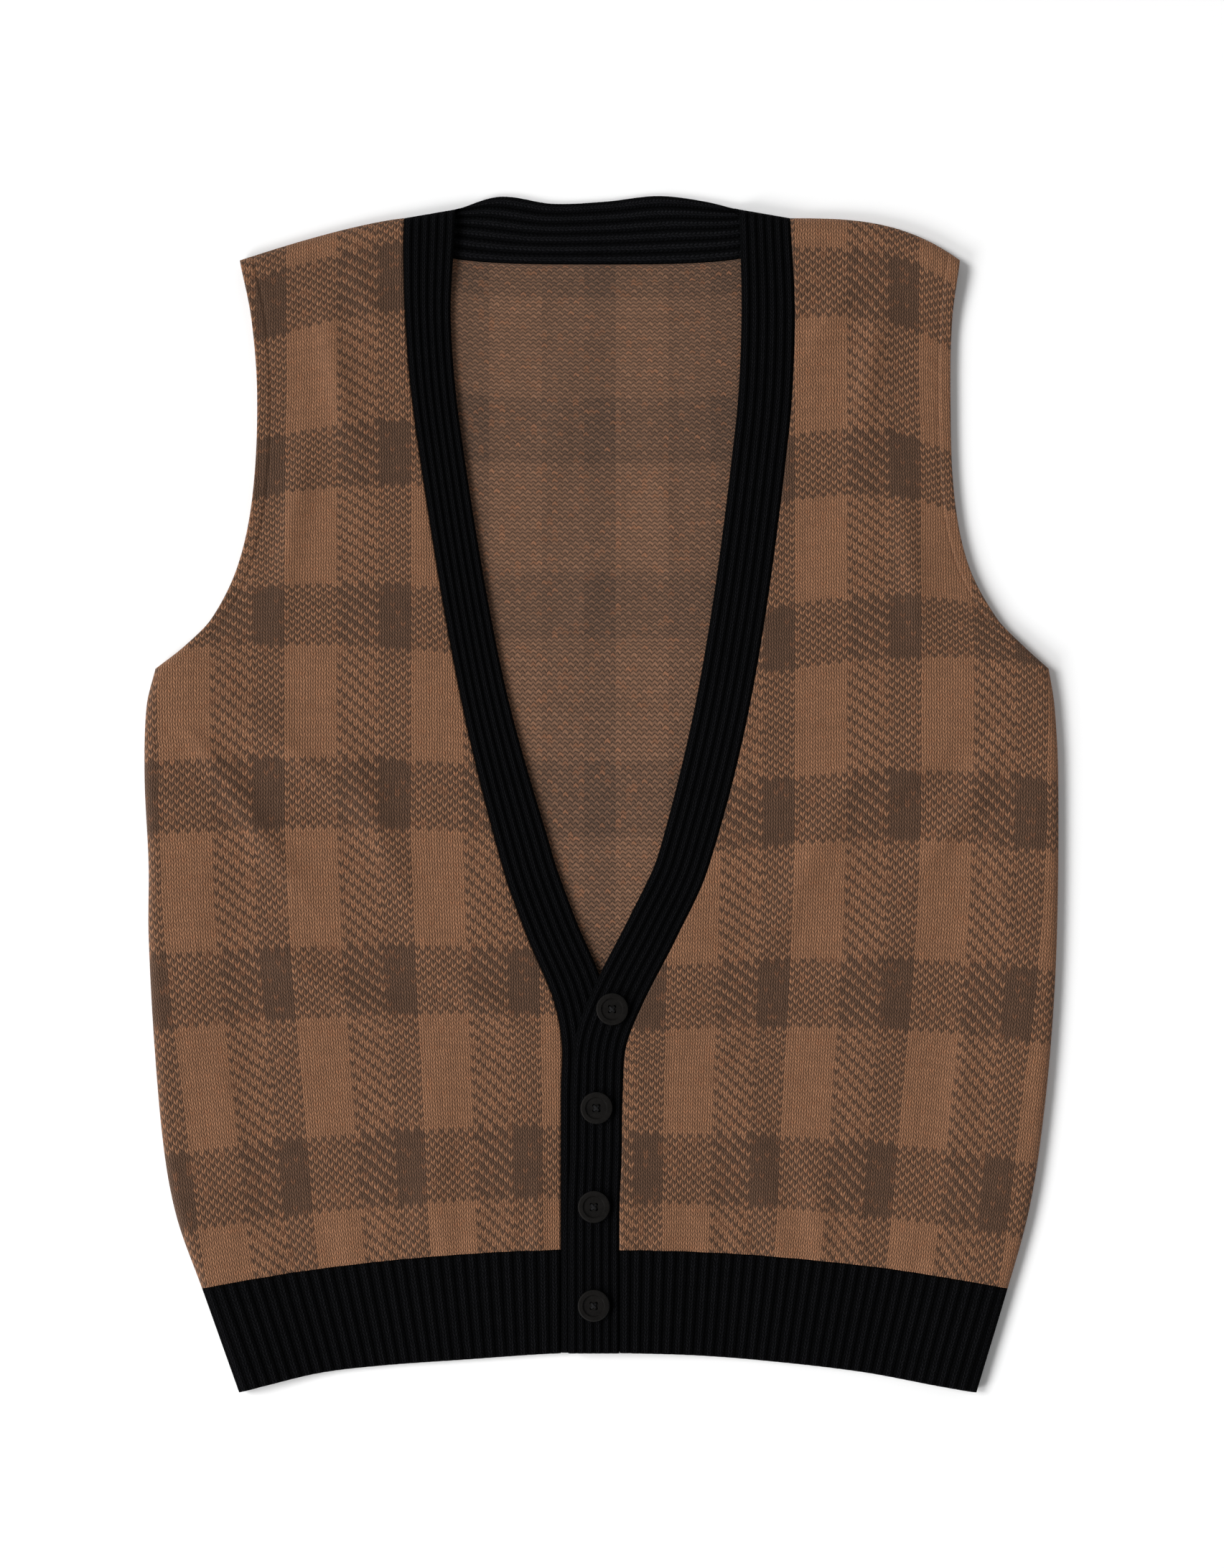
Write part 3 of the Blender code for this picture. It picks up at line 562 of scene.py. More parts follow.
def face(patch, columns, rows, depth, facing, height, closed, relief=0.0):
    """Points of one face of a shell, in millimetres, bent round its folded edges to the seams.

    The shell faces up (1) or down (-1), and this face lies at a depth inside its outer one. Closed tells how
    far the side and the shoulder are folded there.
    """
    cols, rows = columns[:, None, :], rows[:, :, None]
    width = np.linalg.norm(patch(0.0, rows[SHARE]) - patch(1.0, rows[SHARE]), axis=-1)
    length = np.linalg.norm(patch(cols[SHARE], 0.0) - patch(cols[SHARE], 1.0), axis=-1)
    flat = patch(cols[SHARE], rows[SHARE])
    side, shoulder = closed(flat[..., 1], cols[SHARE] + 0.0 * rows[SHARE])
    s = share_at(cols, width, depth * side)
    t = share_at(rows, length, depth * shoulder)
    xy = patch(s, t)
    x, y = xy[..., 0], xy[..., 1]
    z = height(x, y) - facing * depth + relief
    for found, share, seam in ((cols, side, SIDE_HEIGHT / 2), (rows, shoulder, SHOULDER_HEIGHT / 2)):
        bend = (1.0 - np.sin(np.radians(found[ANGLE]))) * share
        z = lerp(z, seam + facing * SEAM_GAP / 2, bend)
    return np.concatenate([xy, z[..., None]], -1)


def edge_distance(points, which):
    """How far each point of a grid is from one of its edges, along the grid."""
    axis = 1 if which in ("start", "end") else 0
    step = np.linalg.norm(np.diff(points, axis=axis), axis=-1)
    run = np.cumsum(step, axis=axis)
    run = np.concatenate([np.zeros_like(np.take(run, [0], axis=axis)), run], axis=axis)
    if which in ("end", "top"):
        run = np.take(run, [-1], axis=axis) - run
    return run


def soften(outer, inner, edges, radius):
    """Rounds a shell's free edges, where its faces close on each other. Edges gives each one's share."""
    half = (outer[..., 2] - inner[..., 2]) / 2
    keep = np.ones(half.shape)
    for which, share in edges.items():
        near = np.clip(edge_distance(outer, which) / radius, 0.0, 1.0)
        round_off = np.sqrt(np.clip(1.0 - (1.0 - near) ** 2, 0.0, 1.0))
        keep = keep * lerp(1.0, lerp(EDGE_LEFT, 1.0, round_off), share)
    middle = (outer[..., 2] + inner[..., 2]) / 2
    outer[..., 2] = middle + half * keep
    inner[..., 2] = middle - half * keep


def add_object(name, data):
    obj = bpy.data.objects.new(name, data)
    bpy.context.scene.collection.objects.link(obj)
    return obj


def shell(name, node, outer, inner, uvs, materials):
    """A laid sheet of cloth: a closed shell of two grids, each with its stitch coordinates and material.
    """
    rows, cols = outer.shape[:2]
    verts = np.concatenate([outer.reshape(-1, 3), inner.reshape(-1, 3)]) * MM
    uvs = np.concatenate([uv.reshape(-1, 2) for uv in uvs])
    index = np.arange(rows * cols).reshape(rows, cols)
    quads = np.stack([index[:-1, :-1], index[:-1, 1:], index[1:, 1:], index[1:, :-1]], -1).reshape(-1, 4)
    shift = rows * cols
    ring = np.concatenate([index[0, :-1], index[:-1, -1], index[-1, :0:-1], index[:0:-1, 0]])
    after = np.roll(ring, -1)
    rim = np.stack([ring, after, after + shift, ring + shift], -1)
    faces = np.concatenate([quads, quads + shift, rim])
    mesh = bpy.data.meshes.new(name)
    mesh.from_pydata(verts.tolist(), [], faces.tolist())
    for material in materials:
        mesh.materials.append(material)
    slots = np.zeros(len(faces), np.int32)
    slots[len(quads):2 * len(quads)] = 1
    mesh.polygons.foreach_set("material_index", slots)
    layer = mesh.uv_layers.new(name="stitches")
    corner = np.empty(len(mesh.loops), np.int32)
    mesh.loops.foreach_get("vertex_index", corner)
    layer.data.foreach_set("uv", uvs[corner].astype(np.float32).ravel())
    bm = bmesh.new()
    bm.from_mesh(mesh)
    bmesh.ops.recalc_face_normals(bm, faces=bm.faces[:])
    bm.to_mesh(mesh)
    bm.free()
    mesh.shade_smooth()
    obj = add_object(name, mesh)
    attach(obj, "root")
    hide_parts(node)


# ---- materials
# Where a mix node takes in its two colours and gives out their mix
MIX_A, MIX_B, MIX_RESULT = 6, 7, 2


class Graph:
    """Builds one material out of short calls. A socket or a number can go into any call."""

    def __init__(self, name):
        self.material = bpy.data.materials.new(name)
        self.material.use_nodes = True
        self.tree = self.material.node_tree
        self.shader = self.tree.nodes["Principled BSDF"]

    def put(self, socket, value):
        if isinstance(value, bpy.types.NodeSocket):
            self.tree.links.new(value, socket)
        else:
            socket.default_value = value

    def add(self, kind, inputs=(), **settings):
        """Adds a node, with pairs of a socket's name or number and what goes into it."""
        node = self.tree.nodes.new("ShaderNode" + kind)
        for key, value in settings.items():
            setattr(node, key, value)
        for key, value in inputs:
            self.put(node.inputs[key], value)
        return node

    def math(self, operation, *values):
        return self.add("Math", enumerate(values), operation=operation).outputs[0]

    def plus(self, a, b):
        return self.math("ADD", a, b)

    def minus(self, a, b):
        return self.math("SUBTRACT", a, b)

    def times(self, a, b, more=0.0):
        return self.math("MULTIPLY_ADD", a, b, more)

    def arch(self, share):
        """Rises from 0 to 1 in the middle of a share and falls back to 0."""
        return self.times(self.times(share, self.minus(1.0, share)), 4.0)

    def join(self, *values):
        return self.add("CombineXYZ", enumerate(values)).outputs[0]

    def split(self, vector):
        return self.add("SeparateXYZ", [(0, vector)]).outputs

    def place(self):
        return self.add("TexCoord").outputs["Object"]

    def noise(self, vector, scale, detail=2.0, roughness=0.5):
        inputs = {"Vector": vector, "Scale": scale, "Detail": detail, "Roughness": roughness}
        return self.add("TexNoise", inputs.items()).outputs["Fac"]

    def random(self, vector):
        return self.add("TexWhiteNoise", [("Vector", vector)], noise_dimensions="3D").outputs["Value"]

    def colour(self, share, *mixed):
        a, b = ((*value, 1.0) if isinstance(value, tuple) else value for value in mixed)
        inputs = [("Factor", share), (MIX_A, a), (MIX_B, b)]
        return self.add("Mix", inputs, data_type="RGBA").outputs[MIX_RESULT]

    def shade(self, colour, amount):
        return self.add("VectorMath", [(0, colour), ("Scale", amount)], operation="SCALE").outputs[0]

    def bump(self, height, distance):
        node = self.add("Bump", [("Height", height), ("Distance", distance)])
        self.put(self.shader.inputs["Normal"], node.outputs[0])

    def finish(self, colour, roughness, specular, sheen=0.0, sheen_tint=(1.0, 1.0, 1.0), sheen_roughness=0.5):
        values = {
            "Base Color": colour,
            "Roughness": roughness,
            "Specular IOR Level": specular,
            "Sheen Weight": sheen,
            "Sheen Tint": (*sheen_tint, 1.0),
            "Sheen Roughness": sheen_roughness,
        }
        for name, value in values.items():
            self.put(self.shader.inputs[name], value)
        return self.material


def knit_cells(g, purl):
    """Stitch cells: their column, row and relief from 0 to 1, then the cloth's coordinates and the strands'.

    On the face each stitch is two slanting legs, and on the reverse (purl) it is a low wave across.
    """
    place = g.add("UVMap", uv_map="stitches").outputs[0]
    across, along, _ = g.split(place)
    wander = g.times(g.minus(g.noise(place, WANDER_SCALE, 1.0), 0.5), WANDER)
    u = g.plus(across, wander)
    v = g.plus(along, wander)
    column = g.math("FLOOR", u)
    out = g.math("ABSOLUTE", g.minus(g.times(g.math("FRACT", u), 2.0), 1.0))
    if purl:
        wave = g.math("COSINE", g.times(u, math.tau))
        v = g.plus(v, g.times(wave, PURL_WAVE))
    else:
        v = g.minus(v, g.times(out, LEG_SLANT))
    row = g.math("FLOOR", v)
    over = g.arch(g.math("FRACT", v))
    if purl:
        relief = g.math("POWER", over, PURL_FULLNESS)
    else:
        legs = g.math("POWER", g.arch(out), LEG_FULLNESS)
        relief = g.times(legs, g.times(over, 1.0 - LEG_LOWEST, LEG_LOWEST))
    strand = g.join(g.times(u, FIBRES_ACROSS), g.times(v, FIBRES_ALONG))
    return column, row, relief, place, strand


def check_chart(g, column, row):
    """The tonal plaid: how much of the light yarn each part of the repeat has, and the stitches that show it.

    Light and dark stripes cross light and dark rows. Where they meet their like, one yarn shows alone. Where
    they don't, the yarns alternate. Between the stripes a third or two thirds are light, in slanting lines.
    """
    across = g.math("FLOORED_MODULO", column, float(REPEAT_ACROSS))
    along = g.math("FLOORED_MODULO", row, float(REPEAT_ALONG))
    light_stripe = g.math("LESS_THAN", across, LIGHT_ACROSS - 0.5)
    dark_stripe = g.math("GREATER_THAN", across, REPEAT_ACROSS - DARK_ACROSS - 0.5)
    plain_stripe = g.minus(g.minus(1.0, light_stripe), dark_stripe)
    off_middle = g.math("ABSOLUTE", g.minus(along, LIGHT_ROW_CENTRE - 0.5))
    light_row = g.math("LESS_THAN", off_middle, LIGHT_ALONG / 2)
    stripe = g.times(g.minus(light_stripe, dark_stripe), 1 / 4)
    contrast = g.times(plain_stripe, 1 / 3 - 1 / 2, 1 / 2)
    band = g.times(g.minus(light_row, 1 / 2), contrast)
    level = g.plus(g.plus(stripe, band), 1 / 2)
    diagonal = g.plus(column, row)
    alternate = g.times(g.math("FLOORED_MODULO", diagonal, 2.0), 1 / 2, 1 / 4)
    slanting = g.times(g.math("FLOORED_MODULO", diagonal, 3.0), 1 / 3, 1 / 6)
    threshold = g.plus(g.times(g.minus(slanting, alternate), plain_stripe), alternate)
    return level, g.math("GREATER_THAN", level, threshold)


def heather(g, column, row, place, strand):
    """How the wool's shade varies: by stitch, by fibre, along its rows and columns, and in soft clouds."""
    fibre = g.noise(strand, *FIBRE_NOISE)
    stray = g.math("ABSOLUTE", g.minus(g.noise(place, *HAIR_NOISE), 0.5))
    causes = (
        (g.random(g.join(column, row)), STITCH_SHADE),
        (fibre, FIBRE_SHADE),
        (g.noise(place, *CLOUD_NOISE), CLOUD_SHADE),
        (g.random(g.join(row, COURSE_SEED)), COURSE_SHADE),
        (g.random(g.join(column, WALE_SEED)), WALE_SHADE),
        (g.math("LESS_THAN", stray, HAIR_WIDTH), HAIR_SHADE),
    )
    amount = SHADE_BASE
    for cause, shade in causes:
        amount = g.plus(g.times(cause, shade), amount)
    return amount, fibre


def brown_knit(name, reverse):
    """Tonal checked wool: stitches on its face, and on its reverse duller rows with the yarns mixed."""
    g = Graph(name)
    column, row, relief, place, strand = knit_cells(g, reverse)
    level, yarn = check_chart(g, column, row)
    if reverse:
        alternate = g.math("FLOORED_MODULO", g.plus(column, row), 2.0)
        yarn = g.plus(g.times(alternate, REVERSE_BY_STITCH, REVERSE_CONSTANT),
                      g.times(level, REVERSE_BY_LEVEL))
    amount, fibre = heather(g, column, row, place, strand)
    fleck = g.math("GREATER_THAN", g.random(g.join(row, column, FLECK_SEED)), FLECK_FROM)
    tone = g.colour(yarn, *((REVERSE_DARK, REVERSE_LIGHT) if reverse else (DARK_YARN, LIGHT_YARN)))
    tone = g.colour(g.times(fleck, FLECK_SHARE), tone, FLECK_YARN)
    # Painted shade: the wool's tone is darkened in the hollows between stitches, where shade falls
    amount = g.times(amount, g.times(relief, BROWN_RELIEF_PAINTED_LIGHT, BROWN_HOLLOW_PAINTED_SHADE))
    g.bump(g.plus(relief, g.times(fibre, BROWN_FIBRE_BUMP)), BROWN_BUMP)
    return g.finish(g.shade(tone, amount), *BROWN_FINISH)


def black_rib(name, strength):
    """Black ribbed wool, with painted shade in the valleys between its ribs and the hollows between its
    stitches, all lighter by its strength, which paints light on the neckband.
    """
    g = Graph(name)
    column, row, relief, place, strand = knit_cells(g, False)
    amount, fibre = heather(g, column, row, place, strand)
    across = g.split(place)[0]
    # Painted shade and light: the ribs' valleys are painted darker and their crests lighter
    crest = g.math("COSINE", g.times(g.minus(across, 0.5), math.pi))
    # Painted shade: the black is darkened in the hollows between stitches, where shade falls
    amount = g.times(amount, g.times(relief, BLACK_RELIEF_PAINTED_LIGHT, BLACK_HOLLOW_PAINTED_SHADE))
    rib_painted_shade = g.times(crest, RIB_CREST_PAINTED_LIGHT * strength, RIB_PAINTED_SHADE * strength)
    g.bump(g.plus(relief, g.times(fibre, BLACK_FIBRE_BUMP)), BLACK_BUMP)
    tone = g.colour(fibre, BLACK_YARN, BLACK_YARN_LIT)
    return g.finish(g.shade(tone, g.times(amount, rib_painted_shade)), *BLACK_FINISH)


def black_button(name):
    """Near-black moulded plastic with a faint swirl and a satin face."""
    g = Graph(name)
    swirl = g.noise(g.place(), *BUTTON_SWIRL)
    g.bump(g.noise(g.place(), *BUTTON_GRAIN), BUTTON_BUMP)
    roughness = g.times(swirl, BUTTON_SWIRL_ROUGHNESS, BUTTON_ROUGHNESS)
    return g.finish(g.colour(swirl, *BUTTON_SHADES), roughness, BUTTON_SPECULAR)


def black_thread(name):
    """Twisted sewing thread."""
    g = Graph(name)
    strand = g.noise(g.place(), *THREAD_NOISE)
    g.bump(strand, THREAD_BUMP)
    return g.finish(g.colour(strand, *THREAD_SHADES), *THREAD_FINISH)


# ---- camera and light
def add_camera():
    """Straight above the vest, from far off, framed as the photograph is."""
    data = bpy.data.cameras.new("camera")
    data.lens = LENS
    data.sensor_width = SENSOR_WIDTH
    data.sensor_fit = "AUTO"
    data.clip_end = CLIP_END
    camera = add_object("camera", data)
    span = IMAGE_HEIGHT * PIXEL * MM
    across, along = (offset * PIXEL * MM for offset in OFF_CENTRE)
    camera.location = (across, along, CAD_BOX[1][2] / 2 + span * LENS / SENSOR_WIDTH)
    bpy.context.scene.camera = camera


def add_lamp(name, kind, place, power, width):
    """A soft light that faces the vest's middle. A sun's width is in degrees, and a lamp's is in metres."""
    data = bpy.data.lights.new(name, kind)
    data.energy = power
    if kind == "SUN":
        data.angle = math.radians(width)
    else:
        data.size = width
    light = add_object(name, data)
    light.location = place
    light.rotation_euler = Vector(place).to_track_quat("Z", "Y").to_euler()


def add_surround():
    """A white surround, brightest at the horizon."""
    world = bpy.data.worlds.new("studio")
    world.use_nodes = True
    nodes, links = world.node_tree.nodes, world.node_tree.links
    direction = nodes.new("ShaderNodeTexCoord")
    split = nodes.new("ShaderNodeSeparateXYZ")
    level = nodes.new("ShaderNodeMapRange")
    level.inputs["To Min"].default_value = HORIZON_LIGHT
    level.inputs["To Max"].default_value = ZENITH_LIGHT
    links.new(direction.outputs["Generated"], split.inputs[0])
    links.new(split.outputs["Z"], level.inputs["Value"])
    links.new(level.outputs[0], nodes["Background"].inputs["Strength"])
    nodes["Background"].inputs["Color"].default_value = (1.0, 1.0, 1.0, 1.0)
    bpy.context.scene.world = world


def add_stage():
    """The white floor and surround, and both lights."""
    bpy.context.scene.view_settings.view_transform = "Standard"
    add_surround()
    add_lamp("key", "SUN", *KEY_SUN)
    add_lamp("side_lamp", "AREA", *SIDE_LAMP)
    g = Graph("floor")
    mottle = g.noise(g.place(), FLOOR_MOTTLE)
    g.finish(g.colour(mottle, *FLOOR_SHADES), *FLOOR_FINISH)
    mesh = bpy.data.meshes.new("floor")
    signs = ((-1, -1), (1, -1), (1, 1), (-1, 1))
    corners = [(x * FLOOR_REACH, y * FLOOR_REACH, -FLOOR_DROP) for x, y in signs]
    mesh.from_pydata(corners, [], [(0, 1, 2, 3)])
    mesh.materials.append(g.material)
    add_object("floor", mesh)


# ---- lines that several pieces share
def spaced(length, fold_start=False, fold_end=False):
    """Lines about a grid's step apart, closer at a cut edge and round a fold."""
    margins = [BESIDE_FOLD if folded else CUT_EDGE for folded in (fold_start, fold_end)]
    between = sliding_lines(round(length / GRID_STEP), margins[0][-1], margins[1][-1])
    start = [lines_round(-1)] * fold_start + [lines_inside(-1, margins[0])]
    end = [lines_inside(1, margins[1])] + [lines_round(1)] * fold_end
    return joined(*start, between, *end)


def panel_rows():
    """From the hem seam to the shoulder fold, with a line on the armpit."""
    below = np.linspace(0.0, ARMPIT_SHARE, round(PANEL_LENGTH * ARMPIT_SHARE / GRID_STEP) + 1)
    above = np.linspace(ARMPIT_SHARE, 1.0, round(PANEL_LENGTH * (1.0 - ARMPIT_SHARE) / GRID_STEP) + 1)[1:]
    shares = np.concatenate([below, above])
    low = (CUT_EDGE[-1] + GRID_STEP / 2) / PANEL_LENGTH
    high = 1.0 - (BESIDE_FOLD[-1] + GRID_STEP / 2) / PANEL_LENGTH
    between = flat_lines(shares[(shares > low) & (shares < high)])
    return joined(lines_inside(-1, CUT_EDGE), between, lines_inside(1, FEW_BESIDE_FOLD), lines_round(1))


def rib_lines(ribs, fold_end=False):
    """Lines over ribs, from a cut edge to another or to a fold."""
    shares = np.linspace(0.0, 1.0, ribs * RIB_LINES + 1)[1:-1]
    over = flat_lines(shares, -FOLD_RADIUS * shares * fold_end)
    return joined(lines_inside(-1, RIB_EDGE), over, lines_round(1) if fold_end else lines_inside(1, RIB_EDGE))


def rib_phase(columns, width, ribs):
    """How many ribs from the start each line lies, with a fold laid flat."""
    folded = FOLD_RADIUS if columns[EDGE].any() else 0.0
    return run_at(columns, width) / (width - folded) * ribs


def rib_relief(columns, phase):
    """How high each line lies on its rib. A folded edge has none."""
    inside = np.minimum(phase % 1.0, 1.0 - phase % 1.0)
    return RIB_RELIEF * ease((inside - RIB_VALLEY) / RIB_SLOPE) * (columns[EDGE] == 0)


def on_floor(x, _y):
    return 0.0 * x


def creased_inside(x, y):
    return soft_ridges(BACK_CREASES, x, y)


def rib_height(side):
    """The height of the valleys between ribs, on a front band or a front hem."""
    return lambda x, y: puffed(BAND_TOP - RIB_RELIEF + overlap_lift(x, y, side), x, y)


def closed_at_sides(y, _s):
    return np.ones_like(y), np.zeros_like(y)


def closed_at_shoulders(y, _s):
    return np.zeros_like(y), np.ones_like(y)


def knit_uv(points, rows, centre, table):
    """Stitch coordinates: across by the cloth's own width from near its middle, and along by its rows."""
    run = edge_distance(points, "start")
    middle = int(points.shape[1] * MIDDLE_COLUMN)
    sign = np.sign(points[0, -1, 0] - points[0, 0, 0])
    y = (HEM_SEAM_MID + run_at(rows, PANEL_LENGTH))[:, None]
    x = points[:, middle:middle + 1, 0] + sign * (run - run[:, middle:middle + 1])
    across = (x / through(DRAWN_IN, y) - centre) / STITCH_WIDTH + LIGHT_ACROSS / 2
    return pair(across, through(table, y))


def rib_uv(phase, points, stitch_height):
    """Stitch coordinates of a rib: across by its ribs, along by its length up its middle."""
    run = edge_distance(points, "bottom")
    along = run[:, run.shape[1] // 2] / stitch_height
    return pair((phase * WALES_PER_RIB - 0.5)[None, :], along[:, None])


def turned_edge(points, share):
    """A narrow finished edge: a low flat bead with a shallow groove behind it."""
    near = edge_distance(points, "end")
    bead = BEAD_HEIGHT * (1.0 - ease((near - TURNED_EDGE + BEAD_SLOPE_START) / BEAD_SLOPE))
    groove = GROOVE_DEPTH * np.exp(-(((near - TURNED_EDGE - GROOVE_BEHIND) / GROOVE_WIDTH) ** 2))
    points[..., 2] += share * (bead - groove)


# ---- pieces
def build_front(name, side, node):
    """A front, from its band's seam to the side seam and the armhole."""
    offset = side * (BAND_WIDTH / 2 + SEAM_GAP)
    seam_x = BAND_LINE[side][0][1] + offset

    def bottom(s):
        x = lerp(seam_x, side * HEM_SEAM_X[side], s)
        return pair(x, hem_seam_y(x) + SEAM_GAP)

    def top(s):
        x = lerp(NECK_CENTRE + side * (NECK_X + SEAM_GAP), side * SHOULDER_TIP_X[side], s)
        return pair(x, shoulder_y(x))

    def height(x, y):
        rise = soft_ridges(FOLDS, x, y) + soft_ridges(CREASES, x, y) + gathers(x, y, GATHER_SEED + side)
        return puffed(CLOTH_TOP + rise + overlap_lift(x, y, side), x, y)

    def closed(y, _s):
        return side_closed(y), np.ones_like(y)

    seam_y = float(bottom(0.0)[1])
    patch = coons(bottom, top, lambda t: band_point(side, lerp(seam_y, NECK_Y, t), offset),
                  lambda t: body_edge(t, side))
    columns = spaced(HEM_SEAM_X[side] - abs(seam_x), fold_end=True)
    rows = panel_rows()
    outer, inner = (face(patch, columns, rows, depth, 1, height, closed) for depth in (0.0, CLOTH))
    uvs = [knit_uv(grid, rows, CHECK_CENTRE[side], FRONT_ROWS[side]) for grid in (outer, inner)]
    open_share = 1.0 - side_closed(outer[..., 1])
    turned_edge(outer, open_share)
    soften(outer, inner, {"start": 1.0, "bottom": 1.0, "end": open_share}, CLOTH_ROUNDING)
    shell(name, node, outer, inner, uvs, (BROWN, BROWN_INSIDE))


def build_back(name, node):
    """The back, lying on the floor, up to the shoulders and the back neck seam."""
    corners = neck_corners(SEAM_GAP)

    def bottom(s):
        x = lerp(-HEM_SEAM_X[-1], HEM_SEAM_X[1], s)
        return pair(x, hem_seam_y(x) + SEAM_GAP)

    def top(s):
        at_neck = neck_seam(corners, np.clip((s - SHOULDER_SHARE) / (1.0 - 2 * SHOULDER_SHARE), 0.0, 1.0))
        side = np.where(s < 0.5, -1.0, 1.0)
        share = np.clip(np.minimum(s, 1.0 - s) / SHOULDER_SHARE, 0.0, 1.0)
        x = lerp(side * by_side(side, SHOULDER_TIP_X), NECK_CENTRE + side * (NECK_X + SEAM_GAP), share)
        inside = (s > SHOULDER_SHARE) & (s < 1.0 - SHOULDER_SHARE)
        return np.where(inside[..., None], at_neck, pair(x, shoulder_y(x)))

    def closed(y, s):
        past = np.maximum(0.0, np.minimum(s, 1.0 - s) - SHOULDER_SHARE)
        return side_closed(y), np.maximum(0.0, 1.0 - past * SHOULDER_FADE / (1.0 - 2 * SHOULDER_SHARE))

    beside = np.linspace(0.0, SHOULDER_SHARE, SHOULDER_LINES)[:-1]
    beside = beside[beside > BACK_MARGIN]
    neck = np.linspace(SHOULDER_SHARE, 1.0 - SHOULDER_SHARE, NECK_CORNERS + 1)
    between = flat_lines(np.concatenate([beside, neck, 1.0 - beside[::-1]]))
    columns = joined(lines_round(-1), lines_inside(-1, BESIDE_FOLD), between, lines_inside(1, BESIDE_FOLD),
                     lines_round(1))
    patch = coons(bottom, top, lambda t: body_edge(t, -1), lambda t: body_edge(t, 1))
    rows = panel_rows()
    outer = face(patch, columns, rows, 0.0, -1, on_floor, closed)
    inner = face(patch, columns, rows, CLOTH, -1, creased_inside, closed)
    uvs = [knit_uv(grid, rows, CHECK_CENTRE[0], BACK_ROWS) for grid in (outer, inner)]
    open_share = 1.0 - side_closed(inner[..., 1])
    soften(inner, outer, {"bottom": 1.0, "start": open_share, "end": open_share}, CLOTH_ROUNDING)
    shell(name, node, outer, inner, uvs, (BROWN, BROWN_INSIDE))


def hem_patch(bottom_x, seam_x, side, start, end):
    """The patch of a hem piece, from an inner end at bottom_x and seam_x to a side of the vest."""

    def bottom(s):
        x = lerp(bottom_x, side * HEM_CORNER_X[side], s)
        return pair(x, through(HEM_BOTTOM, x))

    def top(s):
        x = lerp(seam_x, side * HEM_SEAM_X[side], s)
        return pair(x, hem_seam_y(x))

    return coons(bottom, top, start, end)


def build_front_hem(name, side, node):
    """The ribbed hem under a front."""
    inner_x = BAND_LINE[side][0][1] + side * (BAND_WIDTH / 2 + SEAM_GAP)
    width = HEM_CORNER_X[side] - abs(inner_x)
    ribs = round(width / HEM_RIB_PITCH)
    height = rib_height(side)
    patch = hem_patch(inner_x, inner_x, side,
                      lambda t: pair(inner_x, lerp(through(HEM_BOTTOM, inner_x), hem_seam_y(inner_x), t)),
                      lambda t: hem_edge(t, side))
    columns = rib_lines(ribs, fold_end=True)
    rows = spaced(HEM_SEAM_MID - HEM_BOTTOM_MID)
    phase = rib_phase(columns, width, ribs)
    outer = face(patch, columns, rows, 0.0, 1, height, closed_at_sides, rib_relief(columns, phase))
    inner = face(patch, columns, rows, RIB_BASE, 1, height, closed_at_sides)
    soften(outer, inner, {"start": 1.0, "bottom": 1.0, "top": 1.0}, HEM_ROUNDING)
    uvs = [rib_uv(phase, outer, HEM_STITCH_HEIGHT)] * 2
    shell(name, node, outer, inner, uvs, (BLACK, BLACK))


def build_back_hem(name, node):
    """The hem under the back, flat on the floor and folding up at both sides."""
    patch = hem_patch(-HEM_CORNER_X[-1], -HEM_SEAM_X[-1], 1,
                      lambda t: hem_edge(t, -1), lambda t: hem_edge(t, 1))
    width = sum(HEM_CORNER_X.values())
    columns = spaced(width, fold_start=True, fold_end=True)
    rows = spaced(HEM_SEAM_MID - HEM_BOTTOM_MID)
    outer = face(patch, columns, rows, 0.0, -1, on_floor, closed_at_sides)
    inner = face(patch, columns, rows, RIB_WALL, -1, on_floor, closed_at_sides)
    soften(inner, outer, {"bottom": 1.0, "top": 1.0}, HEM_ROUNDING)
    uvs = [rib_uv(run_at(columns, width) / HEM_RIB_PITCH, outer, HEM_STITCH_HEIGHT)] * 2
    shell(name, node, outer, inner, uvs, (BLACK, BLACK))


def build_band(name, side, node):
    """A ribbed band from the hem's edge, up beside the V, to the fold of the shoulder."""
    length = NECK_Y - HEM_BOTTOM_MID

    def patch(s, t):
        return band_point(side, lerp(HEM_BOTTOM_MID, NECK_Y, np.asarray(t, float)),
                          (np.asarray(s, float) - 0.5) * BAND_WIDTH)
    height = rib_height(side)
    columns = rib_lines(BAND_RIBS)
    rows = spaced(length, fold_end=True)
    phase = rib_phase(columns, BAND_WIDTH, BAND_RIBS)
    outer = face(patch, columns, rows, 0.0, 1, height, closed_at_shoulders, rib_relief(columns, phase))
    inner = face(patch, columns, rows, RIB_BASE, 1, height, closed_at_shoulders)
    soften(outer, inner, {"start": 1.0, "end": 1.0, "bottom": 1.0}, BAND_ROUNDING)
    uvs = [rib_uv(phase, outer, BAND_STITCH_HEIGHT)] * 2
    shell(name, node, outer, inner, uvs, (BLACK, BLACK))


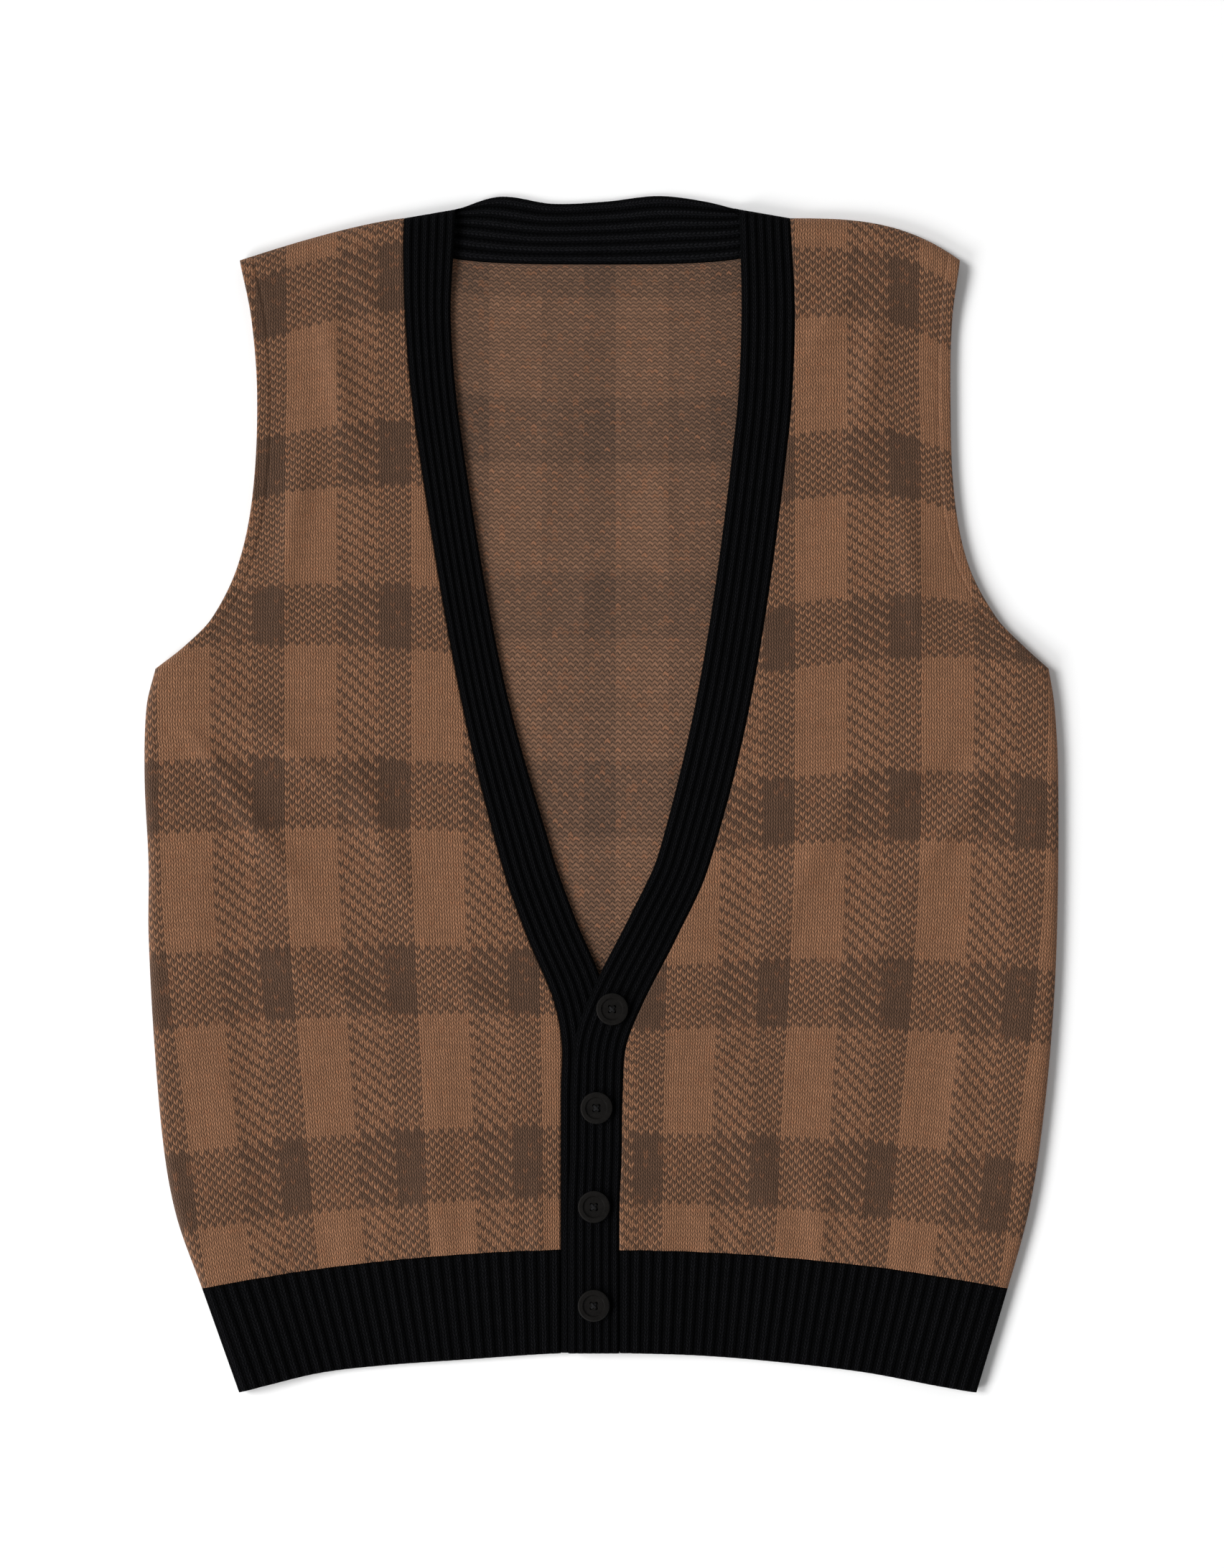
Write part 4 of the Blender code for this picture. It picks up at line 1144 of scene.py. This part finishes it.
def build_neckband(name, node):
    """The band along the back neck, its ribbed face up, its ends folding up to meet the front bands."""
    corners = neck_corners(0.0)

    def free_edge(share):
        x = NECK_CENTRE + lerp(-NECK_FREE_X, NECK_FREE_X, share)
        return pair(x, through(NECK_TOP, x))

    def fold_line(side):
        seam_end = np.array((NECK_CENTRE + side * NECK_X, NECK_Y))
        free_end = np.array((NECK_CENTRE + side * NECK_FREE_X, NECK_TOP[0][1]))
        return lambda share: lerp(seam_end, free_end, np.asarray(share)[..., None])

    patch = coons(lambda share: neck_seam(corners, share), free_edge, fold_line(-1), fold_line(1))
    columns = rib_lines(BAND_RIBS)
    shares = np.linspace(0.0, 1.0, NECK_CORNERS + 1)[NECK_END_CORNERS:-NECK_END_CORNERS]
    rows = joined(lines_round(-1), lines_inside(-1, FEW_BESIDE_FOLD), flat_lines(shares),
                  lines_inside(1, FEW_BESIDE_FOLD), lines_round(1))
    phase = rib_phase(columns, BAND_WIDTH, BAND_RIBS)

    def turned(s, t):
        return patch(t, s)

    outer = face(turned, columns, rows, 0.0, -1, on_floor, closed_at_shoulders)
    relief = rib_relief(columns, phase)
    inner = face(turned, columns, rows, RIB_BASE, -1, on_floor, closed_at_shoulders, relief)
    soften(inner, outer, {"start": 1.0, "end": 1.0}, BAND_ROUNDING)
    uvs = [rib_uv(phase, outer, BAND_STITCH_HEIGHT)] * 2
    shell(name, node, outer, inner, uvs, (BLACK_NECK_PAINTED_LIGHTER, BLACK_NECK_PAINTED_LIGHTER))


def thread_path(x, y, turn, aside, lift):
    """Points of one thread over a button's middle: level between two holes, and steep down into them."""
    share = np.linspace(-1.0, 1.0, THREAD_STEPS)
    along = BUTTON_HOLE_OFFSET * share
    z = BUTTON_FACE_Z + (THREAD_RISE + lift) * (1.0 - share ** 4) - THREAD_DIP * share ** 8
    return np.stack([x + along * math.cos(turn) - aside * math.sin(turn),
                     y + along * math.sin(turn) + aside * math.cos(turn), z], -1)


def tube(path, level, verts, faces):
    """Adds the corners and faces of a closed tube along a path that lies across a level direction."""
    first = len(verts)
    along = np.gradient(path, axis=0)
    along /= np.linalg.norm(along, axis=1)[:, None]
    for point, rise in zip(path, np.cross(along, level)):
        for around in np.arange(THREAD_SIDES) * math.tau / THREAD_SIDES:
            verts.append(point + THREAD_RADIUS * (level * math.cos(around) + rise * math.sin(around)))
    for ring in range(len(path) - 1):
        for j in range(THREAD_SIDES):
            a, b = (first + ring * THREAD_SIDES + corner % THREAD_SIDES for corner in (j, j + 1))
            faces.append((a, b, b + THREAD_SIDES, a + THREAD_SIDES))
    last = first + (len(path) - 1) * THREAD_SIDES
    faces.append(tuple(range(first + THREAD_SIDES - 1, first - 1, -1)))
    faces.append(tuple(range(last, last + THREAD_SIDES)))


def build_thread(name):
    """The sewing thread on the buttons: two crossed pairs of threads on each."""
    verts, faces = [], []
    for k in range(BUTTON_COUNT):
        y = BUTTON_TOP_Y - k * BUTTON_SPACING
        x = float(through(BAND_LINE[1], y))
        for turn, lift in ((math.pi / 4, 0.0), (3 * math.pi / 4, THREAD_OVER)):
            level = np.array((-math.sin(turn), math.cos(turn), 0.0))
            for aside in (-THREAD_ASIDE, THREAD_ASIDE):
                tube(thread_path(x, y, turn, aside, lift), level, verts, faces)
    mesh = bpy.data.meshes.new(name)
    mesh.from_pydata((np.array(verts) * MM).tolist(), [], faces)
    mesh.shade_smooth()
    mesh.materials.append(black_thread("black_thread"))
    thread = add_object(name, mesh)
    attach(thread, "root")


def finish_buttons():
    """The buttons are the solids themselves, with rounder rims and their own material."""
    material = black_button("black_button_satin")
    for k in range(BUTTON_COUNT):
        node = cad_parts[f"button_{k + 1}"]
        node.material_slots[0].material = material
        rim = node.modifiers.new("rim", "BEVEL")
        rim.width = RIM_WIDTH * MM
        rim.segments = RIM_SEGMENTS
        rim.limit_method = "ANGLE"
        rim.angle_limit = math.radians(RIM_ANGLE)


# ---- the vest
add_camera()
add_stage()
BROWN = brown_knit("brown_knit_outside", False)
BROWN_INSIDE = brown_knit("brown_knit_inside", True)
BLACK = black_rib("black_rib", 1.0)
# A copy of the black rib with painted light, for the neckband whose ribs lie across the light
BLACK_NECK_PAINTED_LIGHTER = black_rib("black_rib_neck_painted_lighter", NECKBAND_PAINTED_LIGHT)

build_back("vest_back", "back_panel")
build_back_hem("vest_hem_back", "hem_back")
for side, word in ((-1, "right"), (1, "left")):
    build_front(f"vest_front_{word}", side, f"front_{word}")
    build_front_hem(f"vest_hem_{word}", side, f"hem_front_{word}")
    build_band(f"vest_band_{word}", side, f"band_{word}")
build_neckband("vest_neckband", "neckband_back")
build_thread("button_thread")
finish_buttons()
